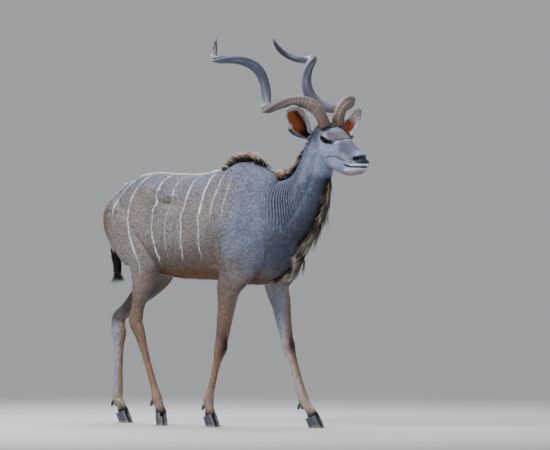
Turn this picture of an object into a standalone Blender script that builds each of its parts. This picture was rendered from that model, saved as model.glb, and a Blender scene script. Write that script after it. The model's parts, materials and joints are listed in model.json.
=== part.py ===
"""Greater kudu bull, life size, walking. Metres, +X forward, +Y to the animal's left, +Z up."""

import math
import random

import bmesh
import bpy
import numpy as np
from mathutils import Matrix, Vector

# Driving dimensions
HORN_LENGTH = 0.95
EAR_LENGTH = 0.257
CLAW_LENGTH = {"fore": 0.086, "hind": 0.080}
CLAW_HALF_WIDTH = 0.0135
GAP = 0.0003

# Head pose: the back of the skull, and how far the face turns to the right and down
SKULL_BACK = Vector((0.523, 0.0195, 1.6056))
HEAD_YAW = -0.19
HEAD_PITCH = 0.25

FINE_VOXEL = 0.004
SHORT_EDGE = 0.0004

HIDE = (0.33, 0.28, 0.24)
NECK_GREY = (0.30, 0.30, 0.32)
HORN_BROWN = (0.26, 0.21, 0.18)
HOOF_BLACK = (0.03, 0.03, 0.04)
EYE_DARK = (0.02, 0.012, 0.01)
TUFT_BLACK = (0.03, 0.025, 0.025)


def head_axes():
    """Forward, left and up of the head."""
    forward = Vector((
        math.cos(HEAD_PITCH) * math.cos(HEAD_YAW),
        math.cos(HEAD_PITCH) * math.sin(HEAD_YAW),
        -math.sin(HEAD_PITCH),
    ))
    left = Vector((-math.sin(HEAD_YAW), math.cos(HEAD_YAW), 0))
    return forward, left, forward.cross(left)


def head_point(along, left, up):
    axes = head_axes()
    return SKULL_BACK + along * axes[0] + left * axes[1] + up * axes[2]


def clear_scene():
    for item in list(bpy.data.objects):
        bpy.data.objects.remove(item)
    for mesh in list(bpy.data.meshes):
        bpy.data.meshes.remove(mesh)


def new_collection(name):
    collection = bpy.data.collections.new(name)
    bpy.context.scene.collection.children.link(collection)
    return collection


def new_material(name, colour, roughness=0.8):
    material = bpy.data.materials.new(name)
    material.use_nodes = True
    shader = material.node_tree.nodes["Principled BSDF"]
    shader.inputs["Base Color"].default_value = (*colour, 1)
    shader.inputs["Roughness"].default_value = roughness
    return material


def new_object(name, points, faces, collection):
    mesh = bpy.data.meshes.new(name)
    mesh.from_pydata([tuple(p) for p in points], [], faces)
    mesh.update()
    item = bpy.data.objects.new(name, mesh)
    collection.objects.link(item)
    return item


def smooth_values(stations, count):
    """Rows of stations read at evenly spread places, on curves that never overshoot."""
    rows = np.array(stations, float)
    steps = np.linalg.norm(np.diff(rows[:, :3], axis=0), axis=1)
    places = np.concatenate([[0], np.cumsum(steps)])
    slopes = np.diff(rows, axis=0) / steps[:, None]
    tangents = np.vstack([slopes[:1], (slopes[1:] + slopes[:-1]) / 2, slopes[-1:]])
    for k in range(1, len(rows) - 1):
        turning = slopes[k - 1, 3:] * slopes[k, 3:] <= 0
        tangents[k, 3:][turning] = 0
    read = np.linspace(0, places[-1], count)
    span = np.clip(np.searchsorted(places, read, side="right") - 1, 0, len(steps) - 1)
    width = steps[span][:, None]
    t = (read - places[span])[:, None] / width
    return (
        (2 * t**3 - 3 * t**2 + 1) * rows[span]
        + (t**3 - 2 * t**2 + t) * width * tangents[span]
        + (3 * t**2 - 2 * t**3) * rows[span + 1]
        + (t**3 - t**2) * width * tangents[span + 1]
    )


def loft(name, stations, collection, count=30, sides=26, lateral=(0, 1, 0)):
    """A closed tube. A station is x, y, z, half width, reach to the plus side, reach to the
    minus side, and the roundness of each side, where 2 is an ellipse. The plus side is up on
    the trunk and head, forward on a leg, and the nape on the neck."""
    rows = smooth_values(stations, count)
    centres = rows[:, :3]
    tangents = np.gradient(centres, axis=0)
    tangents /= np.linalg.norm(tangents, axis=1)[:, None]
    hint = np.array(lateral, float)
    across = hint - (tangents @ hint)[:, None] * tangents
    across /= np.linalg.norm(across, axis=1)[:, None]
    depth = np.cross(tangents, across)
    turn = np.linspace(0, 2 * np.pi, sides, endpoint=False)
    cosine, sine = np.cos(turn), np.sin(turn)
    points = []
    for row, centre, side, up in zip(rows, centres, across, depth):
        width, plus, minus, plus_power, minus_power = row[3:8]
        power = np.where(sine >= 0, plus_power, minus_power)
        reach = np.where(sine >= 0, plus, minus)
        wide = width * np.sign(cosine) * np.abs(cosine) ** (2 / power)
        deep = reach * np.sign(sine) * np.abs(sine) ** (2 / power)
        points.extend(centre + wide[:, None] * side + deep[:, None] * up)
    faces = [
        (k * sides + i, k * sides + (i + 1) % sides,
         (k + 1) * sides + (i + 1) % sides, (k + 1) * sides + i)
        for k in range(count - 1)
        for i in range(sides)
    ]
    faces.append(tuple(reversed(range(sides))))
    faces.append(tuple(range((count - 1) * sides, count * sides)))
    item = new_object(name, points, faces, collection)
    face_outwards(item)
    return item


def face_outwards(item):
    cage = bmesh.new()
    cage.from_mesh(item.data)
    bmesh.ops.recalc_face_normals(cage, faces=cage.faces)
    cage.to_mesh(item.data)
    cage.free()


def settle(item):
    """Applies the object's modifiers."""
    graph = bpy.context.evaluated_depsgraph_get()
    mesh = bpy.data.meshes.new_from_object(item.evaluated_get(graph))
    item.modifiers.clear()
    item.data = mesh


def fuse(name, pieces, collection, voxel):
    """One closed skin round overlapping pieces."""
    whole = bmesh.new()
    for piece in pieces:
        whole.from_mesh(piece.data)
    mesh = bpy.data.meshes.new(name)
    whole.to_mesh(mesh)
    whole.free()
    item = bpy.data.objects.new(name, mesh)
    collection.objects.link(item)
    remesh = item.modifiers.new("remesh", "REMESH")
    remesh.mode = "VOXEL"
    remesh.voxel_size = voxel
    settle(item)
    return item


def read_points(item):
    points = np.empty(len(item.data.vertices) * 3, np.float32)
    item.data.vertices.foreach_get("co", points)
    return points.reshape(-1, 3).astype(float)


def read_normals(item):
    normals = np.empty(len(item.data.vertices) * 3, np.float32)
    item.data.vertex_normals.foreach_get("vector", normals)
    return normals.reshape(-1, 3).astype(float)


def write_points(item, points):
    item.data.vertices.foreach_set("co", points.astype(np.float32).ravel())
    item.data.update()


def relax(item, steps, share=0.5, weight=None):
    """Evens the surface out, and gives back most of what that shrinks."""
    points = read_points(item)
    edges = np.empty(len(item.data.edges) * 2, np.int32)
    item.data.edges.foreach_get("vertices", edges)
    first, second = edges[0::2], edges[1::2]
    number = np.bincount(edges, minlength=len(points))[:, None]
    pull = 1 if weight is None else weight[:, None]
    for step in range(steps * 2):
        total = np.zeros_like(points)
        for axis in range(3):
            total[:, axis] = np.bincount(first, points[second, axis], len(points))
            total[:, axis] += np.bincount(second, points[first, axis], len(points))
        factor = share if step % 2 == 0 else -share * 0.96
        points += factor * pull * (total / number - points)
    write_points(item, points)


def thin_out(item, triangles):
    item.data.calc_loop_triangles()
    decimate = item.modifiers.new("decimate", "DECIMATE")
    decimate.ratio = triangles / len(item.data.loop_triangles)
    decimate.use_collapse_triangulate = True
    settle(item)


def trunk_pieces(stock):
    """Barrel of the body, and the neck up into the head."""
    barrel = [
        (-0.972, 0, 1.175, 0.060, 0.070, 0.070, 2.0, 2.0),
        (-0.930, 0, 1.165, 0.108, 0.128, 0.105, 2.0, 2.0),
        (-0.860, 0, 1.155, 0.150, 0.188, 0.170, 2.1, 2.1),
        (-0.720, 0, 1.135, 0.186, 0.254, 0.250, 2.1, 2.2),
        (-0.550, 0, 1.100, 0.212, 0.288, 0.262, 2.0, 2.2),
        (-0.350, 0, 1.070, 0.232, 0.313, 0.258, 1.9, 2.2),
        (-0.150, 0, 1.060, 0.222, 0.348, 0.252, 1.8, 2.1),
        (0.000, 0, 1.060, 0.186, 0.403, 0.268, 1.7, 2.0),
        (0.100, 0, 1.060, 0.172, 0.400, 0.276, 1.7, 2.0),
        (0.220, 0, 1.070, 0.158, 0.342, 0.260, 1.9, 2.0),
        (0.330, 0, 1.080, 0.132, 0.262, 0.200, 2.0, 2.0),
        (0.400, 0, 1.100, 0.090, 0.140, 0.110, 2.0, 2.0),
        (0.430, 0, 1.105, 0.040, 0.060, 0.045, 2.0, 2.0),
    ]
    neck = [
        (0.130, 0.000, 1.100, 0.150, 0.240, 0.240, 2.0, 2.0),
        (0.260, 0.000, 1.150, 0.135, 0.232, 0.220, 2.0, 2.0),
        (0.370, 0.000, 1.215, 0.116, 0.180, 0.185, 2.0, 2.0),
        (0.460, 0.000, 1.310, 0.095, 0.124, 0.138, 2.0, 2.0),
        (0.515, 0.002, 1.420, 0.081, 0.102, 0.112, 2.0, 2.0),
        (0.548, 0.008, 1.520, 0.074, 0.092, 0.105, 2.0, 2.0),
        (0.572, 0.010, 1.590, 0.068, 0.075, 0.085, 2.0, 2.0),
    ]
    return [loft("barrel", barrel, stock, 44, 40), loft("neck_tube", neck, stock, 30, 32)]


def head_pieces(stock):
    """Skull and jaw as one loft along the face."""
    profile = [
        (0.000, -0.012, 0.056, 0.060, 0.070, 2.2, 2.0),
        (0.050, -0.010, 0.070, 0.088, 0.112, 2.3, 2.0),
        (0.100, -0.010, 0.077, 0.094, 0.134, 2.4, 1.9),
        (0.150, -0.014, 0.076, 0.092, 0.138, 2.5, 1.9),
        (0.200, -0.026, 0.066, 0.088, 0.130, 2.6, 1.9),
        (0.260, -0.046, 0.054, 0.084, 0.108, 2.6, 1.9),
        (0.330, -0.062, 0.047, 0.079, 0.084, 2.5, 2.0),
        (0.385, -0.060, 0.046, 0.067, 0.062, 2.4, 2.1),
        (0.418, -0.054, 0.043, 0.056, 0.046, 2.3, 2.2),
        (0.432, -0.050, 0.034, 0.040, 0.034, 2.2, 2.2),
        (0.440, -0.048, 0.018, 0.020, 0.020, 2.0, 2.0),
    ]
    stations = [
        (*head_point(along, 0, middle), width, top, bottom, upper, lower)
        for along, middle, width, top, bottom, upper, lower in profile
    ]
    return [loft("skull", stations, stock, 46, 36, lateral=head_axes()[1])]


def fore_leg(name, shoulder, elbow, knee, fetlock, coronet, girth, stock):
    """One fore leg from the shoulder blade down to the hoof's upper edge."""
    stations = [
        (shoulder[0] - 0.06, shoulder[1] * 0.60, 1.30, 0.040, 0.070, 0.070, 2, 2),
        (shoulder[0] - 0.01, shoulder[1] * 0.86, 1.18, 0.062, 0.115, 0.115, 2, 2),
        (shoulder[0] + 0.00, shoulder[1], 1.03, 0.068, 0.135, 0.130, 2, 2),
        (shoulder[0] * 0.6 + elbow[0] * 0.4, elbow[1] * 1.02, 0.90, 0.066, 0.118, 0.118, 2, 2),
        (elbow[0], elbow[1], elbow[2], 0.057, 0.078, 0.084, 2, 2),
        between(elbow, knee, 0.30, 0.049, 0.054 * girth, 0.058),
        between(elbow, knee, 0.65, 0.041, 0.044, 0.046),
        between(elbow, knee, 0.90, 0.034, 0.038, 0.038),
        (*knee, 0.036, 0.041, 0.037, 2.3, 2.2),
        between(knee, fetlock, 0.14, 0.031, 0.032, 0.034),
        between(knee, fetlock, 0.30, 0.023 * girth, 0.022 * girth, 0.026 * girth),
        between(knee, fetlock, 0.60, 0.020 * girth, 0.019 * girth, 0.025 * girth),
        between(knee, fetlock, 0.85, 0.022 * girth, 0.021 * girth, 0.028 * girth),
        (*fetlock, 0.030, 0.028, 0.038, 2, 2),
        between(fetlock, coronet, 0.50, 0.027, 0.025, 0.029),
        (*coronet, 0.033, 0.032, 0.034, 2, 2),
        (coronet[0] + 0.012, coronet[1], coronet[2] - 0.035, 0.033, 0.036, 0.036, 2, 2),
    ]
    return loft(name, stations, stock, 70, 24)


def hind_leg(name, hip, stifle, hock, fetlock, coronet, girth, stock):
    """One hind leg from the rump down to the hoof's upper edge."""
    stations = [
        (hip[0], hip[1] * 0.55, hip[2] + 0.10, 0.060, 0.080, 0.080, 2, 2),
        (hip[0], hip[1], hip[2] - 0.02, 0.085, 0.150, 0.130, 2, 2),
        between(hip, stifle, 0.52, 0.080, 0.158, 0.150),
        between(hip, stifle, 0.92, 0.068, 0.110, 0.128),
        between(stifle, hock, 0.28, 0.054, 0.080, 0.080),
        between(stifle, hock, 0.58, 0.042, 0.050, 0.054),
        between(stifle, hock, 0.82, 0.032, 0.034, 0.048),
        (*hock, 0.033, 0.040, 0.050, 2.2, 2.2),
        between(hock, fetlock, 0.16, 0.030 * girth, 0.036 * girth, 0.036 * girth),
        between(hock, fetlock, 0.34, 0.023 * girth, 0.025 * girth, 0.029 * girth),
        between(hock, fetlock, 0.65, 0.020 * girth, 0.020 * girth, 0.024 * girth),
        between(hock, fetlock, 0.88, 0.022 * girth, 0.022 * girth, 0.027 * girth),
        (*fetlock, 0.029, 0.027, 0.036, 2, 2),
        between(fetlock, coronet, 0.50, 0.026, 0.025, 0.028),
        (*coronet, 0.031, 0.031, 0.033, 2, 2),
        (coronet[0] + 0.012, coronet[1], coronet[2] - 0.035, 0.031, 0.035, 0.035, 2, 2),
    ]
    return loft(name, stations, stock, 74, 24)


def between(start, end, share, width, plus, minus):
    place = [a + (b - a) * share for a, b in zip(start, end)]
    return (*place, width, plus, minus, 2, 2)


# Joint centres of each leg. Right legs have a negative y.
LEGS = {
    "fore_right": {
        "shoulder": (0.150, -0.118, 1.03), "elbow": (0.014, -0.140, 0.775),
        "knee": (-0.070, -0.120, 0.445), "fetlock": (-0.168, -0.110, 0.140),
        "coronet": (-0.160, -0.108, 0.072), "girth": 1.0, "heading": -0.22,
    },
    "fore_left": {
        "shoulder": (0.190, 0.118, 1.03), "elbow": (0.112, 0.140, 0.785),
        "knee": (0.204, 0.128, 0.447), "fetlock": (0.335, 0.116, 0.148),
        "coronet": (0.400, 0.114, 0.070), "girth": 1.20, "heading": 0.0,
    },
    "hind_right": {
        "hip": (-0.820, -0.105, 1.17), "stifle": (-0.610, -0.138, 0.905),
        "hock": (-0.695, -0.128, 0.575), "fetlock": (-0.550, -0.115, 0.155),
        "coronet": (-0.526, -0.110, 0.076), "girth": 1.0, "heading": -0.60,
    },
    "hind_left": {
        "hip": (-0.840, 0.105, 1.17), "stifle": (-0.745, 0.135, 0.850),
        "hock": (-1.062, 0.130, 0.575), "fetlock": (-1.058, 0.116, 0.140),
        "coronet": (-1.018, 0.114, 0.070), "girth": 1.28, "heading": -0.12,
    },
}


def leg_pieces(stock):
    made = []
    for name, leg in LEGS.items():
        joints = [value for key, value in leg.items() if key != "heading"]
        build = fore_leg if name.startswith("fore") else hind_leg
        made.append(build(name + "_tube", *joints, stock))
        made.extend(dewclaws(name, leg, stock))
    return made


def dewclaws(name, leg, stock):
    """The two small false hooves behind the fetlock."""
    fetlock = leg["fetlock"]
    made = []
    for side in (-1, 1):
        top = (fetlock[0] - 0.020, fetlock[1] + side * 0.013, fetlock[2] - 0.016)
        stations = [
            (top[0], top[1], top[2], 0.008, 0.010, 0.009, 2, 2),
            (top[0] - 0.009, top[1] + side * 0.002, top[2] - 0.018, 0.009, 0.010, 0.008, 2, 2),
            (top[0] - 0.013, top[1] + side * 0.003, top[2] - 0.034, 0.005, 0.006, 0.005, 2, 2),
        ]
        made.append(loft(f"{name}_dewclaw{side}", stations, stock, 8, 12))
    return made


TAIL_STATIONS = (
    (-0.890, 0, 1.262, 0.062, 0.075, 0.046, 2, 2),
    (-0.950, 0, 1.232, 0.048, 0.060, 0.036, 2, 2),
    (-0.988, 0, 1.188, 0.036, 0.036, 0.028, 2, 2),
    (-1.006, 0, 1.130, 0.026, 0.020, 0.020, 2, 2),
    (-0.990, 0, 1.020, 0.023, 0.014, 0.016, 2, 2),
    (-0.960, 0, 0.910, 0.020, 0.012, 0.013, 2, 2),
    (-0.952, 0, 0.850, 0.014, 0.010, 0.010, 2, 2),
)


def tail_stump(stock):
    """The root of the tail, which grows out of the rump."""
    end = (-1.004, 0, 1.105, 0.025, 0.018, 0.018, 2, 2)
    return [loft("tail_root", TAIL_STATIONS[:4] + (end,), stock, 14, 16)]


def tail(name, collection):
    item = loft(name, TAIL_STATIONS, collection, 16, 10)
    grow_tuft(item)
    slice_off(item, level(TAIL_CUT) - UP * (GAP / 2), UP)
    return item


# Where long hair grows along the midline: points just outside the flesh, in the way it lies.
# Locks leave and end in shares of outward and along; a fringe faces the other way from a mane.
# The first and last locks of a row are shorter by the shares in "ends".
HAIR_ROWS = {
    "nape": {
        "path": ((0.500, 1.740), (0.455, 1.650), (0.420, 1.570),
                 (0.360, 1.480), (0.280, 1.440), (0.210, 1.450)),
        "facing": 1, "locks": 20, "length": 0.072, "width": 0.046,
        "leave": (1.0, 0.30), "end": (0.50, 0.70), "spread": 0.010, "splay": 0.20, "ends": (0.3, 0.7),
    },
    "crest": {
        "path": ((0.195, 1.470), (0.100, 1.520), (0.000, 1.540), (-0.100, 1.500), (-0.190, 1.460)),
        "facing": 1, "locks": 16, "length": 0.074, "width": 0.046,
        "leave": (1.0, 0.20), "end": (0.60, 0.70), "spread": 0.010, "splay": 0.20, "ends": (0.7, 0.7),
    },
    "fringe": {
        "path": ((0.740, 1.372), (0.720, 1.270), (0.660, 1.140), (0.560, 1.010),
                 (0.450, 0.900), (0.340, 0.790), (0.250, 0.720)),
        "facing": -1, "locks": 29, "length": 0.160, "width": 0.052,
        "leave": (0.85, 0.60), "end": (0.08, 1.0), "spread": 0.018, "splay": 0.14, "ends": (0.85, 0.40),
    },
}
LOCK_SINK = 0.014
LOCK_FLATNESS = 0.30
LOCK_SHAPE = ((0.0, 0.55), (0.30, 1.0), (0.68, 0.62))
TUFT_LOCKS = 11
TUFT_LENGTH = 0.165
TUFT_WIDTH = 0.032


def lock(name, root, leave, end, side, length, width, collection):
    """A flat, tapered, bending lock of hair."""
    points = []
    for share, breadth in LOCK_SHAPE:
        centre = root + length * (share * leave + share**2 * (end - leave) / 2)
        heading = (leave + share * (end - leave)).normalized()
        across = (side - side.dot(heading) * heading).normalized()
        thin = heading.cross(across)
        half = width * breadth / 2
        for wide, deep in ((half, 0), (0, half * LOCK_FLATNESS), (-half, 0), (0, -half * LOCK_FLATNESS)):
            points.append(centre + across * wide + thin * deep)
    points.append(root + length * (leave + end) / 2)
    tip = len(points) - 1
    rings = len(LOCK_SHAPE)
    faces = [(3, 2, 1, 0)]
    faces += [
        (r * 4 + k, r * 4 + (k + 1) % 4, (r + 1) * 4 + (k + 1) % 4, (r + 1) * 4 + k)
        for r in range(rings - 1) for k in range(4)
    ]
    faces += [((rings - 1) * 4 + k, (rings - 1) * 4 + (k + 1) % 4, tip) for k in range(4)]
    item = new_object(name, points, faces, collection)
    face_outwards(item)
    return item


def grow_row(name, row, owners, collections):
    """Locks along one hair row, each handed to the node that carries its root."""
    draw = random.Random(name)
    path = np.array([(x, 0.0, z, 0.0) for x, z in row["path"]])
    line = smooth_values(path, row["locks"] * 4 + 1)[:, :3]
    for k in range(row["locks"]):
        middle = 4 * k + 2
        along = Vector(line[middle + 1] - line[middle - 1]).normalized()
        outward = Vector((0, 1, 0)).cross(along) * row["facing"]
        sway = (-1, 1)[k % 2] * draw.uniform(0.4, 1.0)
        start = Vector(line[middle]) + Vector((0, sway * row["spread"], 0))
        for owner, node in owners.items():
            hit, place, _, _ = node.ray_cast(start, -outward, distance=0.30)
            if hit and owner_of(place) == owner:
                side = along - outward + Vector((0, draw.uniform(-1.2, 1.2), 0))
                lean = Vector((0, sway * row["splay"], 0))
                leave = (outward * row["leave"][0] + along * row["leave"][1] + lean).normalized()
                end = (outward * row["end"][0] + along * row["end"][1] + lean).normalized()
                size = draw.uniform(0.85, 1.12)
                first, last = row["ends"]
                share = k / (row["locks"] - 1)
                taper = min(1.0, first + share * 2, last + (1 - share) * 1.4)
                lock(
                    f"{name}_lock{k}", place - outward * LOCK_SINK, leave, end, side,
                    row["length"] * size * taper + LOCK_SINK, row["width"] * draw.uniform(0.85, 1.1),
                    collections[owner],
                )
                break


def owner_of(place):
    """Which of head, neck and torso a point of the midline belongs to."""
    point, normal = head_plane()
    if (place - point).dot(normal) > 0:
        return "head"
    return "torso" if (place - NECK_PLANE[0]).dot(NECK_PLANE[1]) < 0 else "neck"


def grow_tuft(item):
    """Hanging locks round the end of the tail."""
    draw = random.Random("tuft")
    locks = new_collection("tuft_locks")
    turn_step = math.pi * (3 - math.sqrt(5))
    for k in range(TUFT_LOCKS):
        share = k / (TUFT_LOCKS - 1)
        x, _, z, width, front, _, _, _ = smooth_values(TAIL_STATIONS[4:], 20)[int(6 + 12 * share)]
        turn = k * turn_step
        away = Vector((math.cos(turn), math.sin(turn), 0))
        leave = (away * 0.35 + Vector((0, 0, -1))).normalized()
        end = (away * draw.uniform(-0.10, 0.12) + Vector((0, 0, -1))).normalized()
        side = Vector((-math.sin(turn), math.cos(turn), 0))
        length = TUFT_LENGTH * draw.uniform(0.80, 1.05)
        lock(f"tuft_lock{k}", Vector((x, 0, z)) + away * 0.003, leave, end, side, length, TUFT_WIDTH, locks)
    combine(item, locks, "UNION")


# Swellings and hollows of the body, the same on both sides: centre, radii and height
BODY_FORMS = {
    "blade_top": ((-0.010, 0.090, 1.360), (0.055, 0.050, 0.060), 0.006),
    "shoulder": ((0.130, 0.170, 1.130), (0.100, 0.090, 0.120), 0.010),
    "shoulder_point": ((0.285, 0.110, 1.010), (0.060, 0.060, 0.060), 0.010),
    "upper_arm": ((0.040, 0.170, 0.930), (0.080, 0.070, 0.080), 0.010),
    "girth": ((-0.100, 0.200, 1.060), (0.050, 0.090, 0.160), -0.010),
    "flank": ((-0.560, 0.200, 1.130), (0.080, 0.090, 0.110), -0.014),
    "hip_bone": ((-0.600, 0.140, 1.310), (0.050, 0.050, 0.040), 0.014),
    "rump": ((-0.760, 0.160, 1.270), (0.080, 0.070, 0.050), -0.006),
    "thigh": ((-0.780, 0.170, 1.040), (0.110, 0.080, 0.130), 0.010),
    "neck_base": ((0.330, 0.110, 1.220), (0.060, 0.060, 0.100), -0.008),
}

# Where forms that meet in a fold are evened out: centre, radii and steps
CREASES = (
    ((0.430, 0.000, 1.030), (0.090, 0.150, 0.090), 12),
    ((-0.940, 0.000, 1.250), (0.060, 0.090, 0.070), 12),
    ((-0.590, 0.180, 1.010), (0.110, 0.090, 0.120), 40),
    ((-0.080, 0.160, 0.960), (0.060, 0.080, 0.120), 20),
)

# Swellings and hollows of the face, in the head's axes: along, to the side, up
HEAD_FORMS = {
    "brow": ((0.145, 0.066, 0.038), (0.032, 0.022, 0.014), 0.006),
    "temple": ((0.080, 0.070, 0.030), (0.030, 0.030, 0.030), -0.004),
    "cheek": ((0.120, 0.070, -0.070), (0.055, 0.030, 0.040), 0.006),
    "tear_hollow": ((0.210, 0.055, -0.004), (0.035, 0.030, 0.020), -0.005),
    "muzzle_side": ((0.385, 0.046, -0.050), (0.035, 0.020, 0.030), 0.004),
    "upper_lip": ((0.425, 0.030, -0.048), (0.030, 0.020, 0.012), 0.003),
    "chin": ((0.400, 0.015, -0.104), (0.030, 0.025, 0.016), 0.005),
    "jaw_hollow": ((0.055, 0.070, -0.125), (0.030, 0.030, 0.030), -0.008),
}

# Drawn on the side of the face: along and up
MOUTH_LINE = ((0.318, -0.084), (0.345, -0.086), (0.380, -0.080), (0.415, -0.071), (0.452, -0.062))
EYE_CENTRE = (0.150, 0.013)
EYE_TILT = math.radians(-12)
EYE_HALF_LENGTH = 0.0225
EYE_HALF_HEIGHT = 0.0125
EYEBALL_RADIUS = 0.0205
EYEBALL_DEPTH = 0.0575
NOSTRIL = (0.420, 0.032, -0.022)


def head_coordinates(points):
    axes = np.array([list(axis) for axis in head_axes()])
    return (points - np.array(SKULL_BACK)) @ axes.T


def blob(points, centre, radii):
    """Falls from 1 at the centre over an ellipsoid."""
    away = (points - np.array(centre)) / np.array(radii)
    return np.exp(-(away**2).sum(1))


def line_distance(flat, line):
    """Distance from flat points to an open line."""
    nearest = np.full(len(flat), 9.0)
    for start, end in zip(line, line[1:]):
        start, end = np.array(start), np.array(end)
        along = end - start
        share = np.clip((flat - start) @ along / (along @ along), 0, 1)
        gap = np.linalg.norm(flat - start - share[:, None] * along, axis=1)
        nearest = np.minimum(nearest, gap)
    return nearest


def eye_places(face):
    """How far each point is round the eye's almond, 1 on the rim of the lids."""
    across, up = face[:, 0] - EYE_CENTRE[0], face[:, 2] - EYE_CENTRE[1]
    long = across * math.cos(EYE_TILT) + up * math.sin(EYE_TILT)
    high = -across * math.sin(EYE_TILT) + up * math.cos(EYE_TILT)
    return np.hypot(long / EYE_HALF_LENGTH, high / EYE_HALF_HEIGHT)


def shape_head(item):
    points = read_points(item)
    normals = read_normals(item)
    face = head_coordinates(points)
    even = face * (1, 0, 1) + np.abs(face) * (0, 1, 0)
    lift = np.zeros(len(points))
    for centre, radii, height in HEAD_FORMS.values():
        lift += height * blob(even, centre, radii)
    on_side = np.clip((even[:, 1] - 0.03) / 0.02, 0, 1) * (face[:, 0] < 0.23)
    inside = eye_places(face)
    lift += 0.0050 * np.exp(-(((inside - 1.25) / 0.28) ** 2)) * on_side
    lift -= 0.0110 * np.clip(1.08 - inside, 0, 0.35) / 0.35 * on_side
    mouth = line_distance(face[:, [0, 2]], MOUTH_LINE)
    near_mouth = (face[:, 0] > 0.30) * (face[:, 2] < 0)
    lift -= 0.0070 * np.exp(-((mouth / 0.0055) ** 2)) * near_mouth
    lift += 0.0020 * np.exp(-(((mouth - 0.013) / 0.006) ** 2)) * near_mouth
    nostril = (even - np.array(NOSTRIL)) / (0.014, 0.020, 0.009)
    reach = np.linalg.norm(nostril, axis=1)
    lift -= 0.0120 * np.exp(-(reach**2))
    lift += 0.0030 * np.exp(-(((reach - 1.7) / 0.5) ** 2))
    write_points(item, points + lift[:, None] * normals)


def shape_body(item):
    points = read_points(item)
    normals = read_normals(item)
    even = points * (1, 0, 1) + np.abs(points) * (0, 1, 0)
    lift = np.zeros(len(points))
    for centre, radii, height in BODY_FORMS.values():
        lift += height * blob(even, centre, radii)
    write_points(item, points + lift[:, None] * normals)
    for centre, radii, steps in CREASES:
        relax(item, steps, 0.6, blob(even, centre, radii))


def slice_off(item, point, normal, where=None):
    """Cuts away what lies beyond a plane, where asked to, and closes the cut."""
    cage = bmesh.new()
    cage.from_mesh(item.data)

    def beyond(vert):
        return (vert.co - point).dot(normal) > 0 and where(vert.co)

    faces = [f for f in cage.faces if where is None or any(beyond(v) for v in f.verts)]
    edges = {e for f in faces for e in f.edges}
    points = {v for f in faces for v in f.verts}
    bmesh.ops.bisect_plane(
        cage, geom=list(points) + list(edges) + faces, dist=1e-6,
        plane_co=point, plane_no=normal, clear_outer=True,
    )
    open_edges = [e for e in cage.edges if e.is_boundary]
    filled = bmesh.ops.holes_fill(cage, edges=open_edges, sides=0)
    bmesh.ops.triangulate(cage, faces=filled["faces"])
    cage.to_mesh(item.data)
    cage.free()


def keep_largest(item):
    """Keeps the largest closed surface."""
    cage = bmesh.new()
    cage.from_mesh(item.data)
    left = set(cage.faces)
    islands = []
    while left:
        seed = left.pop()
        island, edge = {seed}, [seed]
        while edge:
            face = edge.pop()
            for line in face.edges:
                for other in line.link_faces:
                    if other in left:
                        left.remove(other)
                        island.add(other)
                        edge.append(other)
        islands.append(island)
    islands.sort(key=lambda faces: -sum(f.calc_area() for f in faces))
    spare = [face for island in islands[1:] for face in island]
    bmesh.ops.delete(cage, geom=spare, context="FACES")
    loose = [v for v in cage.verts if not v.link_faces]
    bmesh.ops.delete(cage, geom=loose, context="VERTS")
    cage.to_mesh(item.data)
    cage.free()


def can_close(edge):
    """Whether an edge can shrink to a point and leave a closed surface."""
    first, second = edge.verts
    around_first = {e.other_vert(first) for e in first.link_edges}
    around_second = {e.other_vert(second) for e in second.link_edges}
    return len(around_first & around_second) == 2 and len(edge.link_faces) == 2


def independent(edges):
    """Edges that share no neighbouring point."""
    taken, chosen = set(), []
    for edge in edges:
        near = {v for end in edge.verts for line in end.link_edges for v in line.verts}
        if not near & taken:
            taken |= near
            chosen.append(edge)
    return chosen


def clean(item):
    """Takes out needle faces left by a cut."""
    cage = bmesh.new()
    cage.from_mesh(item.data)
    bmesh.ops.triangulate(cage, faces=cage.faces)
    for _ in range(6):
        short = [e for e in cage.edges if e.calc_length() < SHORT_EDGE and can_close(e)]
        if not short:
            break
        bmesh.ops.collapse(cage, edges=independent(short), uvs=False)
    cage.to_mesh(item.data)
    cage.free()


def combine(item, tools, operation, solver="EXACT"):
    """Joins or cuts an object with a collection of closed meshes, which are then removed."""
    boolean = item.modifiers.new("combine", "BOOLEAN")
    boolean.operation = operation
    boolean.operand_type = "COLLECTION"
    boolean.collection = tools
    boolean.solver = solver
    settle(item)
    for tool in list(tools.objects):
        bpy.data.objects.remove(tool)
    bpy.data.collections.remove(tools)
    keep_largest(item)
    clean(item)


def grown_copy(item, margin, collection):
    """A copy whose surface stands a little further out."""
    copy = bpy.data.objects.new(item.name + "_grown", item.data.copy())
    collection.objects.link(copy)
    write_points(copy, read_points(copy) + margin * read_normals(copy))
    return copy


DOWN, UP = Vector((0, 0, -1)), Vector((0, 0, 1))


def level(height):
    return Vector((0, 0, height))


# Planes that part the body: a point, and the direction of the side beyond it
def head_plane():
    """Below the poll and behind the angle of the jaw."""
    axes = head_axes()
    return head_point(0.050, 0, -0.108), (axes[0] * 0.524 + axes[2] * 0.852).normalized()


NECK_PLANE = (Vector((0.245, 0, 1.20)), Vector((0.832, 0, 0.555)))
TAIL_CUT = 1.135
FORE_CUT = 0.748
HIND_CUT = 0.792
KNEE_CUT = 0.398
HOCK_CUT = 0.505
MIDDLE_X = -0.42
MARGIN = 0.018


def coronet_plane(leg):
    """The upper edge of a hoof, higher in front."""
    coronet, heading = leg["coronet"], leg["heading"]
    fall = Vector((0.30 * math.cos(heading), 0.30 * math.sin(heading), -0.954))
    return Vector((coronet[0], coronet[1], coronet[2] - 0.022)), fall.normalized()


def carve(fine, name, cuts, triangles, collection):
    """One node of the fine body: parted a little wide, thinned out, then trimmed exactly."""
    item = bpy.data.objects.new(name, fine.data.copy())
    collection.objects.link(item)
    for point, normal, where in cuts:
        slice_off(item, point + normal * MARGIN, normal, where)
    thin_out(item, triangles)
    trim(item, cuts)
    return item


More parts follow.
